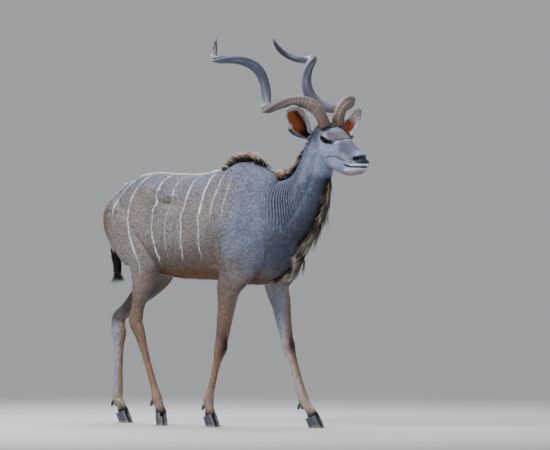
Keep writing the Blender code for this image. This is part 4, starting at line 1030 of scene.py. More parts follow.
def unwrapSkin():
    # six flat views of the trunk and of each leg, laid side by side
    corners = skinPoints[skinTriangles]
    centres = corners.mean(1)
    flat = np.cross(corners[:, 1] - corners[:, 0], corners[:, 2] - corners[:, 0])
    axis = np.abs(flat).argmax(1)
    way = flat[np.arange(len(flat)), axis] > 0
    part = np.zeros(len(centres), int)
    for k, leg in enumerate(legForm.values()):
        near = (centres[:, 2] < 0.8) * (np.sign(centres[:, 1]) == np.sign(leg["coronet"][1]))
        fore = centres[:, 0] > -0.42
        part[near * (fore == ("knee" in leg))] = k + 1
    places = np.zeros((len(centres), 3, 2))
    for k, direction, facing in itertools.product(range(5), range(3), (0, 1)):
        chosen = (part == k) * (axis == direction) * (way == facing)
        if not chosen.any():
            continue
        view = corners[chosen][:, :, [d for d in range(3) if d != direction]]
        low, high = view.min((0, 1)), view.max((0, 1))
        view = (view - low) / (high - low).max()
        size, first, step, columns = unwrapForm["legs" if k else "trunk"]
        cell = direction * 2 + facing + (k - 1) * 6 * (k > 0)
        origin = (first[0] + step[0] * (cell % columns), first[1] + step[1] * (cell // columns))
        places[chosen] = view * size * (0.9 if k else 1) + origin
    return places


skinUnwrap = unwrapSkin()
for name in ("tint", "stripePhase", "stripeGap", "stripeHold", "wet"):
    storeValues(skin.data, name, values[name])
storeValues(skin.data, "rootPlace", skinPoints + np.array(frameShift))
storeValues(skin.data, "shade", np.full(len(skinPoints), 0.5))
storeValues(skin.data, "tipShare", np.full(len(skinPoints), 0.55))
smoothly(skin.data)


# Materials

def makeNode(tree, kind, settings=None, inputs=None):
    node = tree.nodes.new(kind)
    for key, value in (settings or {}).items():
        setattr(node, key, value)
    setInputs(node, inputs or {})
    return node


def setInputs(node, inputs):
    for key, value in inputs.items():
        node.inputs[key].default_value = value


def plug(tree, socket, value):  # a number or colour is set, anything else is linked
    if isinstance(value, (int, float, tuple)):
        socket.default_value = value
    else:
        tree.links.new(value, socket)


def freshMaterial(name, inputs=None):
    material = bpy.data.materials.new(name)
    material.use_nodes = True
    tree = material.node_tree
    tree.nodes.clear()
    output = tree.nodes.new("ShaderNodeOutputMaterial")
    shader = makeNode(tree, "ShaderNodeBsdfPrincipled", None, inputs)
    tree.links.new(shader.outputs[0], output.inputs[0])
    return material, tree, shader


def mathNode(tree, operation, *values):
    node = makeNode(tree, "ShaderNodeMath", {"operation": operation})
    for socket, value in zip(node.inputs, values):
        plug(tree, socket, value)
    return node.outputs[0]


def product(tree, first, *factors):
    for factor in factors:
        first = mathNode(tree, "MULTIPLY", first, factor)
    return first


def softStep(tree, value, low, high, outLow=0.0, outHigh=1.0):
    node = makeNode(tree, "ShaderNodeMapRange", {"interpolation_type": "SMOOTHSTEP"}, {
        "From Min": low, "From Max": high, "To Min": outLow, "To Max": outHigh,
    })
    tree.links.new(value, node.inputs["Value"])
    return node.outputs[0]


def attributeNode(tree, name, output="Fac"):
    return makeNode(tree, "ShaderNodeAttribute", {"attribute_name": name}).outputs[output]


def objectPlace(tree):
    return tree.nodes.new("ShaderNodeTexCoord").outputs["Object"]


def stretched(tree, vector, scale):
    node = makeNode(tree, "ShaderNodeMapping", None, {"Scale": scale})
    tree.links.new(vector, node.inputs["Vector"])
    return node.outputs[0]


def noiseNode(tree, vector, scale, detail=3.0, roughness=0.6):
    inputs = {"Scale": scale, "Detail": detail, "Roughness": roughness}
    node = makeNode(tree, "ShaderNodeTexNoise", None, inputs)
    tree.links.new(vector, node.inputs["Vector"])
    return node.outputs[0]


def mixColour(tree, share, first, second):
    node = makeNode(tree, "ShaderNodeMix", {"data_type": "RGBA", "clamp_factor": True})
    for key, value in ((0, share), (6, first), (7, second)):
        plug(tree, node.inputs[key], value)
    return node.outputs[2]


def scaleColour(tree, colour, factor):
    node = makeNode(tree, "ShaderNodeVectorMath", {"operation": "SCALE"})
    tree.links.new(colour, node.inputs[0])
    tree.links.new(factor, node.inputs["Scale"])
    return node.outputs[0]


def addBump(tree, shader, height, strength, distance):
    bump = makeNode(tree, "ShaderNodeBump", None, {"Strength": strength, "Distance": distance})
    tree.links.new(height, bump.inputs["Height"])
    tree.links.new(bump.outputs[0], shader.inputs["Normal"])


coatFinish = {
    "stripe": (*linear(236, 241, 250), 1.0), "stripeHalf": 0.004, "ragged": 0.006,
    "mottle": (7.0, 4.0, 0.6, 0.4), "speck": (60.0, 3.0, 0.7, 0.2),  # scale, detail, roughness, strength
    "skinGrain": (170.0, 2.0, 0.6, 0.5), "hairGrain": (220.0, 2.0, 0.6, 0.5),
    "rootShade": 0.86, "tipShade": 1.08, "wetRoughness": 0.28,
    "shader": {"Roughness": 0.62, "Specular IOR Level": 0.18, "Sheen Weight": 0.06, "Sheen Roughness": 0.5},
    "hairScale": (120, 420, 230), "pores": 420.0, "bump": (0.35, 0.001),
}


def coatNoise(tree, place, key, edges=None):  # one layer of light and dark
    *settings, strength = coatFinish[key]
    value = noiseNode(tree, place, *settings)
    if edges:
        value = softStep(tree, value, *edges)
    return mathNode(tree, "MULTIPLY_ADD", value, strength, 1 - strength / 2)


def addSkinRelief(tree, shader):
    wet = attributeNode(tree, "wet")
    dry = coatFinish["shader"]["Roughness"]
    tree.links.new(softStep(tree, wet, 0.2, 0.8, dry, coatFinish["wetRoughness"]), shader.inputs["Roughness"])
    coordinates = objectPlace(tree)
    hairs = noiseNode(tree, stretched(tree, coordinates, coatFinish["hairScale"]), 1.0, 3.0, 0.65)
    pores = makeNode(tree, "ShaderNodeTexVoronoi", None, {"Scale": coatFinish["pores"]})
    tree.links.new(coordinates, pores.inputs["Vector"])
    relief = makeNode(tree, "ShaderNodeMix", {"data_type": "FLOAT"})
    for key, value in ((0, wet), (2, hairs), (3, pores.outputs["Distance"])):
        tree.links.new(value, relief.inputs[key])
    addBump(tree, shader, relief.outputs[0], *coatFinish["bump"])


def coatMaterial(name, onSkin, longHair=False):
    material, tree, shader = freshMaterial(name, coatFinish["shader"])
    place = attributeNode(tree, "rootPlace", "Vector")
    tint = attributeNode(tree, "tint", "Color")
    shade = attributeNode(tree, "shade")
    tip = attributeNode(tree, "tipShare")
    light = product(
        tree, softStep(tree, tip, 0.0, 1.0, coatFinish["rootShade"], coatFinish["tipShade"]),
        coatNoise(tree, place, "mottle"),
        coatNoise(tree, place, "speck", (0.32, 0.68)),
        coatNoise(tree, place, "hairGrain" if longHair else "skinGrain", (0.34, 0.66)),
        mathNode(tree, "MULTIPLY_ADD", shade, 0.3, 0.85),
    )
    if longHair:
        share = softStep(tree, mathNode(tree, "MULTIPLY_ADD", shade, 0.6, tip), 0.75, 1.45)
        base = mixColour(tree, share, tint, attributeNode(tree, "tipTint", "Color"))
    else:
        phase = attributeNode(tree, "stripePhase")
        away = mathNode(tree, "ABSOLUTE", mathNode(tree, "SUBTRACT", phase, mathNode(tree, "ROUND", phase)))
        away = product(tree, away, attributeNode(tree, "stripeGap"))
        ragged = mathNode(tree, "SUBTRACT", noiseNode(tree, place, 60.0), 0.5)
        away = mathNode(tree, "MULTIPLY_ADD", ragged, coatFinish["ragged"], away)
        half = coatFinish["stripeHalf"]
        mask = softStep(tree, away, half * 1.25, half * 0.55)
        mask = product(tree, mask, attributeNode(tree, "stripeHold"))
        base = mixColour(tree, mask, tint, coatFinish["stripe"])
    tree.links.new(scaleColour(tree, base, light), shader.inputs["Base Color"])
    if onSkin:
        addSkinRelief(tree, shader)
    return material


skinCoat = coatMaterial("kuduSkin", True)
shortCoat = coatMaterial("kuduShortCoat", False)
longCoat = coatMaterial("kuduLongHair", False, True)
skin.data.materials.clear()
skin.data.materials.append(skinCoat)
skin.data.transform(Matrix.Translation(frameShift))
print("coat materials made")


# Tufts and locks that the coat is grown from
def strandMesh(shape, sideways):
    # a tapered strand along +x, with z away from the skin
    rings, sides, path = shape["rings"], shape["sides"], shape["path"]
    points, tips, places = [], [], []
    for ring in range(rings):
        share = ring / rings
        height = np.interp(share, *zip(*path))
        taper = (1 - 0.55 * share) if ring else 0.8
        for k in range(sides):
            turn = 2 * math.pi * k / sides + math.pi / 2
            points.append((share, shape["halfWidth"] * taper * math.cos(turn) + sideways * share**2,
                           height + shape["thickness"] * taper * math.sin(turn)))
            tips.append(share)
            places.append((share, 0.5 + 0.4 * math.cos(turn)))
    points.append((1.0, sideways, path[-1][1]))
    tips.append(1.0)
    places.append((1.0, 0.5))
    faces = tubeFaces(rings, sides) + fanFaces((rings - 1) * sides, rings * sides, sides)
    faces.append(tuple(reversed(range(sides))))
    return points, faces, tips, places


def clumpObject(name, shape, bend, collection):
    # several strands that leave one root and come together at the tip
    draw = random.Random(name)
    several = shape["strands"] > 1
    points, faces, tips, places = [], [], [], []
    for _ in range(shape["strands"]):
        spread = shape["spread"] * (draw.random() * 2 - 1) if several else 0.0
        rise = shape["spread"] * 0.5 * (draw.random() * 2 - 1) if several else 0.0
        size = draw.uniform(0.72, 1.0) if several else 1.0
        part, sides, tip, place = strandMesh(shape, bend + draw.uniform(-1, 1) * shape["stray"])
        start = len(points)
        for x, y, z in part:
            belly = math.sin(math.pi * min(1.0, x * 0.8 + 0.25))
            across, high = y + spread * (0.35 + 0.65 * belly), z * (0.8 + 0.2 * size) + rise * belly
            points.append((x * size, across, high))
        faces += [tuple(i + start for i in face) for face in sides]
        tips += tip
        places += place
    item = meshObject(name, points, faces, collection)
    cage = bmesh.new()
    cage.from_mesh(item.data)
    bmesh.ops.triangulate(cage, faces=cage.faces)
    bmesh.ops.recalc_face_normals(cage, faces=cage.faces)
    cage.to_mesh(item.data)
    cage.free()
    storeValues(item.data, "tipShare", np.array(tips))
    corners = np.empty(len(item.data.loops), np.int32)
    item.data.loops.foreach_get("vertex_index", corners)
    storeValues(item.data, "tuftPlace", np.array(places)[corners], "CORNER")
    smoothly(item.data)


clumpForms = {
    "shortFur": {
        "count": 5, "strands": 1, "sides": 3, "rings": 1, "halfWidth": 0.11, "thickness": 0.06,
        "path": ((0, 0.0), (1, 0.09)), "spread": 0.0, "bend": 0.12, "stray": 0.0,
    },
    "maneLock": {
        "count": 6, "strands": 5, "sides": 3, "rings": 3, "halfWidth": 0.014, "thickness": 0.01,
        "path": ((0, -0.08), (0.25, 0.02), (0.6, 0.03), (1, -0.06)),
        "spread": 0.09, "bend": 0.12, "stray": 0.12,
    },
    "hangLock": {
        "count": 6, "strands": 6, "sides": 3, "rings": 4, "halfWidth": 0.0095, "thickness": 0.007,
        "path": ((0, -0.08), (0.25, 0.05), (0.6, 0.03), (1, -0.1)),
        "spread": 0.06, "bend": 0.1, "stray": 0.1,
    },
}


def makeClumps():
    made = {}
    for kind, form in clumpForms.items():
        made[kind] = newCollection(kind, False)
        for k in range(form["count"]):
            clumpObject(f"{kind}{k}", form, form["bend"] * (2 * k / (form["count"] - 1) - 1), made[kind])
    return made


clumps = makeClumps()


def openSocket(sockets, name=None):  # the one in use among sockets of one name
    return next(s for s in sockets if s.enabled and name in (None, s.name))


def growthTree():
    tree = bpy.data.node_groups.new("growCoat", "GeometryNodeTree")
    sockets = (
        ("Skin", "NodeSocketGeometry", None), ("Clumps", "NodeSocketCollection", None),
        ("Density", "NodeSocketFloat", 1.0), ("Length", "NodeSocketFloat", 1.0),
        ("Width", "NodeSocketFloat", 1.0), ("Lift", "NodeSocketFloat", 0.1),
        ("Stray", "NodeSocketFloat", 0.2), ("Seed", "NodeSocketInt", 1),
        ("Finish", "NodeSocketMaterial", None),
    )
    for name, kind, value in sockets:
        socket = tree.interface.new_socket(name, in_out="INPUT", socket_type=kind)
        if value is not None:
            socket.default_value = value
    tree.interface.new_socket("Coat", in_out="OUTPUT", socket_type="NodeSocketGeometry")
    enter, leave = tree.nodes.new("NodeGroupInput"), tree.nodes.new("NodeGroupOutput")
    link = tree.links.new

    def named(name, kind="FLOAT_VECTOR"):
        node = makeNode(tree, "GeometryNodeInputNamedAttribute", {"data_type": kind}, {"Name": name})
        return openSocket(node.outputs, "Attribute")

    def drawn(low, high, offset, kind="FLOAT"):
        node = makeNode(tree, "FunctionNodeRandomValue", {"data_type": kind})
        for name, value in (("Min", low), ("Max", high)):
            plug(tree, openSocket(node.inputs, name), value)
        link(mathNode(tree, "ADD", enter.outputs["Seed"], offset), node.inputs["Seed"])
        return openSocket(node.outputs)

    def stored(geometry, name, kind, value, domain="POINT"):
        settings = {"data_type": kind, "domain": domain}
        node = makeNode(tree, "GeometryNodeStoreNamedAttribute", settings, {"Name": name})
        link(geometry, node.inputs["Geometry"])
        link(value, openSocket(node.inputs, "Value"))
        return node.outputs[0]

    scatter = makeNode(tree, "GeometryNodeDistributePointsOnFaces", {"distribute_method": "RANDOM"})
    link(enter.outputs["Skin"], scatter.inputs["Mesh"])
    link(product(tree, enter.outputs["Density"], named("coatDensity", "FLOAT")), scatter.inputs["Density"])
    link(enter.outputs["Seed"], scatter.inputs["Seed"])
    points = stored(scatter.outputs["Points"], "shade", "FLOAT", drawn(0.0, 1.0, 1))
    root = tree.nodes.new("GeometryNodeInputPosition").outputs[0]
    points = stored(points, "rootPlace", "FLOAT_VECTOR", root)

    axes = makeNode(tree, "FunctionNodeAxesToRotation", {"primary_axis": "Z", "secondary_axis": "X"})
    link(named("up"), axes.inputs["Primary Axis"])
    link(named("lie"), axes.inputs["Secondary Axis"])
    euler = tree.nodes.new("ShaderNodeCombineXYZ")
    stray = enter.outputs["Stray"]
    back = product(tree, stray, -1)
    pitch = mathNode(tree, "ADD", enter.outputs["Lift"], product(tree, drawn(back, stray, 3), 0.4))
    pitch = product(tree, mathNode(tree, "ADD", pitch, named("rise", "FLOAT")), -1)
    for k, turn in enumerate((drawn(back, stray, 2), pitch, drawn(back, stray, 4))):
        link(turn, euler.inputs[k])
    turned = makeNode(tree, "FunctionNodeEulerToRotation")
    link(euler.outputs[0], turned.inputs[0])
    spun = makeNode(tree, "FunctionNodeRotateRotation", {"rotation_space": "LOCAL"})
    link(axes.outputs[0], spun.inputs[0])
    link(turned.outputs[0], spun.inputs[1])

    length = product(tree, enter.outputs["Length"], named("coatLength", "FLOAT"), drawn(0.75, 1.2, 5))
    width = product(tree, length, enter.outputs["Width"], drawn(0.8, 1.25, 6))
    size = tree.nodes.new("ShaderNodeCombineXYZ")
    for k, value in enumerate((length, width, length)):
        link(value, size.inputs[k])

    library = makeNode(tree, "GeometryNodeCollectionInfo", {"transform_space": "ORIGINAL"}, {
        "Separate Children": True, "Reset Children": True,
    })
    link(enter.outputs["Clumps"], library.inputs["Collection"])
    place = makeNode(tree, "GeometryNodeInstanceOnPoints", None, {"Pick Instance": True})
    for name, value in (("Points", points), ("Instance", library.outputs[0]),
                        ("Instance Index", drawn(0, 9, 7, "INT")), ("Rotation", spun.outputs[0]),
                        ("Scale", size.outputs[0])):
        link(value, place.inputs[name])
    real = tree.nodes.new("GeometryNodeRealizeInstances")
    link(place.outputs[0], real.inputs[0])

    # each tuft is a small patch of the unwrap
    shift = makeNode(tree, "ShaderNodeVectorMath", {"operation": "SUBTRACT"}, {1: (0.5, 0.5, 0.0)})
    link(named("tuftPlace"), shift.inputs[0])
    patch = makeNode(tree, "ShaderNodeVectorMath", {"operation": "MULTIPLY_ADD"}, {1: (0.003, 0.003, 0.0)})
    link(shift.outputs[0], patch.inputs[0])
    link(named("unwrap"), patch.inputs[2])
    coat = stored(real.outputs[0], "OFBake", "FLOAT2", patch.outputs[0], "CORNER")
    finish = tree.nodes.new("GeometryNodeSetMaterial")
    link(coat, finish.inputs["Geometry"])
    link(enter.outputs["Finish"], finish.inputs["Material"])
    link(finish.outputs[0], leave.inputs[0])
    return tree


growth = growthTree()


def skinPatch(name, faces, extra):
    # the part of the skin that a coat piece grows from, with its values
    corners = skinTriangles[faces]
    used, order = np.unique(corners, return_inverse=True)
    item = arrayObject(name, (skinPoints + np.array(frameShift))[used], order.reshape(-1, 3))
    for key in ("tint", "lie", "up", "coatLength", "coatDensity", "stripePhase", "stripeGap", "stripeHold"):
        storeValues(item.data, key, extra.get(key, values[key])[used])
    for key in ("rise", "tipTint"):
        if key in extra:
            storeValues(item.data, key, extra[key][used])
    flat = skinUnwrap[faces].reshape(-1, 2)
    storeValues(item.data, "unwrap", np.hstack([flat, np.zeros((len(flat), 1))]), "CORNER")
    return item


def growCoat(item, clump, finish, inputs):
    grow = item.modifiers.new("grow", "NODES")
    grow.node_group = growth
    numbers = {"Clumps": clumps[clump], "Finish": finish, "Density": 1.0, "Length": 1.0, "Width": 1.0}
    numbers.update(inputs)
    for socket in growth.interface.items_tree:
        if getattr(socket, "in_out", "") == "INPUT" and socket.name in numbers:
            grow[socket.identifier] = numbers[socket.name]
    settle(item)
    mesh = item.data
    for key in ("lie", "up", "coatLength", "coatDensity", "unwrap", "tuftPlace", "rise"):
        if key in mesh.attributes:
            mesh.attributes.remove(mesh.attributes[key])
    if "OFBake" in mesh.uv_layers:
        mesh.uv_layers.active = mesh.uv_layers["OFBake"]
    mesh.materials.clear()
    mesh.materials.append(finish)
    print(item.name, len(mesh.polygons))


def triangleAreas():
    corners = skinPoints[skinTriangles]
    return np.linalg.norm(np.cross(corners[:, 1] - corners[:, 0], corners[:, 2] - corners[:, 0]), axis=1) / 2


shortPieces = {
    "most": 33000, "lift": 0.06, "stray": 0.25, "seed": 20,
    "neckFrom": 0.26, "rumpFrom": -0.33, "legs": -0.42,
}


def growShortCoat():
    areas, centres = triangleAreas(), skinPoints[skinTriangles].mean(1)
    wanted, inHead, inLeg = (values[key][skinTriangles].mean(1) for key in ("coatDensity", "head", "leg"))
    headPart = inHead > 0.5
    legPart = (inLeg > 0.5) & ~headPart
    trunk = ~headPart & ~legPart
    x, leftHalf = centres[:, 0], centres[:, 1] > 0
    headLeft = headCoordinates(centres)[:, 1] > 0
    neck = trunk & (x > shortPieces["neckFrom"])
    rump = trunk & (x <= shortPieces["rumpFrom"])
    shoulder = trunk & ~neck & ~rump
    regions = {
        "coatHeadLeft": headPart & headLeft, "coatHeadRight": headPart & ~headLeft, "coatNeck": neck,
        "coatShoulderLeft": shoulder & leftHalf, "coatShoulderRight": shoulder & ~leftHalf,
        "coatRumpLeft": rump & leftHalf, "coatRumpRight": rump & ~leftHalf,
        "coatForelegs": legPart & (x > shortPieces["legs"]),
        "coatHindlegs": legPart & (x <= shortPieces["legs"]),
    }
    for number, (name, faces) in enumerate(regions.items()):
        expected = (areas * wanted)[faces].sum()
        density = min(1.0, shortPieces["most"] / expected)
        print(name, "wanted", int(expected), "kept", round(density, 2))
        item = skinPatch(name, faces, {})
        growCoat(item, "shortFur", shortCoat, {
            "Density": density, "Lift": shortPieces["lift"], "Stray": shortPieces["stray"],
            "Seed": shortPieces["seed"] + number * 11,
        })
        finishPiece(item)


growShortCoat()

finishPiece(skin, [
    "head", "neck", "torso", "tail",
    *[f"{leg['node']}_{part}_leg" for leg in legForm.values() for part in ("upper", "lower")],
])


# Long hair: mane, withers crest, pale ridge, throat fringe, tail tuft, belly hair
def longHairRegions():
    x, y, z = skinPoints.T
    level = skinNormals[:, 2]
    along, left, up = headCoordinates(skinPoints).T
    neckMiddle = 0.012 * ease(0.4, 0.55, x)
    middle = np.abs(y - neckMiddle)
    top = (level > 0.0) & (along < 0.03)
    inFront = (level < 0.3) & (z > 0.78) & (x > 0.2) & (skinNormals[:, 0] > -0.3) & (values["head"] < 0.6)
    tuft = (level > -0.45) & (x < -0.9) & (x > -1.02) & (np.abs(y) < 0.035) & (z < 0.985) & (z > 0.8)
    crown = (along > 0.035) & (along < 0.15) & (np.abs(left) < 0.062) & (up > 0.05)
    return {  # taper is a factor on the length from place to place
        "napeMane": {
            "where": top & (middle < 0.017) & (x > 0.235) & (z > 1.2),
            "length": 0.08, "density": 42000, "rise": 0.85, "clump": "maneLock",
            "lie": (-0.75, 0.0, -0.3), "root": linear(36, 27, 24), "tip": linear(200, 174, 146),
            "taper": (0.45 + 0.55 * ease(0.235, 0.3, x)) * (1 - 0.62 * ease(1.46, 1.56, z)),
        },
        "withersCrest": {
            "where": top & (middle < 0.019) & (x > -0.2) & (x <= 0.235) & (z > 1.2),
            "length": 0.078, "density": 36000, "rise": 0.8, "clump": "maneLock",
            "lie": (-0.9, 0.0, 0.0), "root": linear(38, 29, 26), "tip": linear(184, 160, 136),
            "taper": 0.36 + 0.64 * ease(-0.2, -0.06, x) * ease(0.235, 0.1, x),
        },
        "paleRidge": {
            "where": top & (np.abs(y) < 0.023) & (x > -0.9) & (x <= -0.13) & (z > 1.22),
            "length": 0.03, "density": 40000, "rise": 0.75, "clump": "maneLock",
            "lie": (-0.95, 0.0, -0.2), "root": linear(190, 188, 186), "tip": linear(246, 247, 250),
            "taper": 0.75 + 0.45 * ease(-0.3, -0.15, x),
        },
        "throatFringe": {
            "where": inFront & (np.abs(y - 0.5 * neckMiddle) < 0.022) & (along < 0.22),
            "length": 0.16, "density": 13000, "rise": 0.32, "clump": "hangLock",
            "lie": (-0.15, 0.0, -1.0), "root": linear(30, 25, 24), "tip": linear(196, 182, 164),
            "taper": (0.5 + 0.5 * ease(0.8, 1.02, z)) * (0.45 + 0.55 * ease(1.42, 1.22, z)),
            "drift": np.stack([0.7 * ease(1.06, 0.92, z), 0.25 * ease(1.2, 1.0, z), 0 * z], 1),
        },
        "tailTuft": {
            "where": tuft & (np.hypot(y, x + 0.958) < 0.05),
            "length": 0.12, "density": 26000, "rise": 0.02, "clump": "hangLock", "stray": 0.1,
            "lie": (0.0, 0.0, -1.0), "root": linear(17, 15, 17), "tip": linear(58, 34, 26),
        },
        "crownHair": {
            "where": crown & ((along < 0.122) | (np.abs(left) < 0.035)),
            "length": 0.024, "density": 30000, "rise": 0.6, "clump": "maneLock",
            "lie": np.array((-0.5, 0.0, 0.8)) @ np.array(headAxes()),
            "root": linear(66, 60, 62), "tip": linear(168, 158, 154),
        },
        "bellyHair": {
            "where": (level < -0.7) & (np.abs(y) < 0.05) & (x > -0.62) & (x < 0.16) & (z > 0.74) & (z < 0.9),
            "length": 0.03, "density": 14000, "rise": 0.4, "clump": "hangLock",
            "lie": (-0.85, 0.0, -0.2), "root": linear(132, 100, 72), "tip": linear(206, 192, 176),
            "taper": 1 + 0.9 * ease(-0.34, -0.46, x),
        },
    }


def growLongHair():
    count = len(skinPoints)
    for number, (name, region) in enumerate(longHairRegions().items()):
        item = skinPatch(name, region["where"][skinTriangles].sum(1) >= 2, {
            "lie": alongSkin(np.tile(region["lie"], (count, 1)) - region.get("drift", 0.0), skinNormals),
            "coatLength": region["length"] * region.get("taper", np.ones(count)),
            "coatDensity": np.full(count, float(region["density"])), "rise": np.full(count, region["rise"]),
            "tint": opaque(np.tile(region["root"], (count, 1))),
            "tipTint": opaque(np.tile(region["tip"], (count, 1))),
        })
        growCoat(item, region["clump"], longCoat, {
            "Lift": 0.0, "Stray": region.get("stray", 0.3), "Seed": 300 + number * 17,
        })
        finishPiece(item)


growLongHair()
print("long hair grown")


# Horns
hornForm = {
    "root": (0.101, 0.049, 0.086), "tilt": (1.162, -0.285), "splay": (0.196, -0.131), "startTurn": -3.232,
    "turns": 1.974, "swing": (0.083, 0.059), "power": 1.232, "length": 0.95, "rings": 300, "sides": 40,
    "radii": ((0.0, 0.0345), (0.08, 0.0325), (0.25, 0.0285), (0.4, 0.029), (0.55, 0.0275),
              (0.7, 0.0245), (0.85, 0.0195), (0.94, 0.0125), (0.985, 0.0062), (1.0, 0.0022)),
    "ringSpacing": 0.015, "ringHeight": 0.0008,
}


def hornLine(side, count):
    share = np.linspace(0, 1, count)
    yaw = headPose["yaw"]
    forward = np.array((math.cos(yaw), math.sin(yaw), 0))
    out = side * np.array((-math.sin(yaw), math.cos(yaw), 0))
    tilt = hornForm["tilt"][0] + hornForm["tilt"][1] * share
    splay = hornForm["splay"][0] + hornForm["splay"][1] * share
    axis = (
        (-np.sin(tilt) * np.cos(splay))[:, None] * forward
        + np.sin(splay)[:, None] * out
        + (np.cos(tilt) * np.cos(splay))[:, None] * np.array((0, 0, 1))
    )
    steps = (axis[1:] + axis[:-1]) / 2 * hornForm["length"] / (count - 1)
    middle = np.vstack([np.zeros(3), np.cumsum(steps, 0)])
    first = out - (axis @ out)[:, None] * axis
    first /= np.linalg.norm(first, axis=1)[:, None]
    second = np.cross(axis, first) * side
    turn = hornForm["startTurn"] + 2 * math.pi * hornForm["turns"] * share
    swing = hornForm["swing"][0] * (1 - share) ** hornForm["power"] + hornForm["swing"][1] * share
    away = np.cos(turn)[:, None] * first + np.sin(turn)[:, None] * second
    line = middle + swing[:, None] * away
    root = np.array(headPoint(hornForm["root"][0], side * hornForm["root"][1], hornForm["root"][2]))
    return line - line[0] + root, away


def makeHorn(name, side):
    count, sides = hornForm["rings"], hornForm["sides"]
    line, away = hornLine(side, count)
    start = (line[0] - line[1]) / np.linalg.norm(line[0] - line[1])
    extra = np.array([line[0] + start * depth for depth in (0.022, 0.011)])
    line, away = np.vstack([extra, line]), np.vstack([away[:1], away[:1], away])
    share = np.concatenate([[0, 0], np.linspace(0, 1, count)])
    radii = np.interp(share, *zip(*hornForm["radii"]))
    tangent = np.gradient(line, axis=0)
    tangent /= np.linalg.norm(tangent, axis=1)[:, None]
    across = away - (away * tangent).sum(1)[:, None] * tangent
    across /= np.linalg.norm(across, axis=1)[:, None]
    other = np.cross(tangent, across)
    travelled = np.concatenate([[0], np.cumsum(np.linalg.norm(np.diff(line, axis=0), axis=1))])
    turn = np.linspace(0, 2 * math.pi, sides, endpoint=False)
    angle = np.angle(np.exp(1j * turn))
    keel = 0.95 + 0.2 * rib(angle, 0, 0.3) - 0.09 * rib(np.abs(angle), 0.68, 0.22)
    second = 0.05 * rib(np.abs(angle), math.pi, 0.5)
    draw = np.random.default_rng(5 if side > 0 else 6)
    wobble = np.interp(travelled, np.linspace(0, travelled[-1], 90), draw.uniform(-1, 1, 90))
    phase = 2 * np.pi * (travelled + 0.004 * wobble) / hornForm["ringSpacing"]
    fade = ease(0.46, 0.1, share) * ease(0.0, 0.02, share)
    points, band = [], []
    for k in range(len(line)):
        ridge = np.cos(phase[k] + 0.35 * np.sin(2 * turn + 0.5 * k / 30))
        ridge = (np.abs(ridge) ** 1.5) * np.sign(ridge)
        rough = 0.0004 * np.sin(7 * turn + travelled[k] * 300) * fade[k]
        height = hornForm["ringHeight"] * fade[k] * ridge * (0.5 + 0.5 * radii[k] / 0.034)
        radius = radii[k] * (keel + second) + height + rough
        way = np.cos(turn)[:, None] * across[k] + np.sin(turn)[:, None] * other[k]
        points.extend(line[k] + radius[:, None] * way)
        band.extend(ridge * fade[k])
    rings = len(line)
    points.append(line[-1] + tangent[-1] * 0.004)
    faces = tubeFaces(rings, sides) + fanFaces((rings - 1) * sides, rings * sides, sides)
    faces.append(tuple(reversed(range(sides))))
    item = meshObject(name, np.array(points) + np.array(frameShift), faces)
    faceOutwards(item)
    for key, body, tip in (
        ("hornShare", np.repeat(share, sides), 1.0), ("ridge", band, 0.0),
        ("around", np.tile(np.abs(angle) / np.pi, rings), 0.0),
        ("travel", np.repeat(travelled, sides), travelled[-1]),
    ):
        storeValues(item.data, key, np.append(body, tip))
    smoothly(item.data)
    return item


hornFinishForm = {
    "stops": ((0.0, (98, 76, 64)), (0.07, (134, 118, 110)), (0.22, (112, 104, 106)), (0.48, (82, 86, 98)),
              (0.78, (70, 78, 94)), (0.9, (36, 41, 54)), (0.965, (50, 56, 68)), (1.0, (150, 154, 164))),
    # groove is the place round the horn where the painted groove shade lies
    "streaks": (1.6, 5.0, 0.65), "clouds": (14.0, 4.0), "fine": (260.0, 3.0), "groove": 0.216,
    "along": 9.0, "around": 26.0, "specular": 0.32, "bump": (0.55, 0.0011),
}


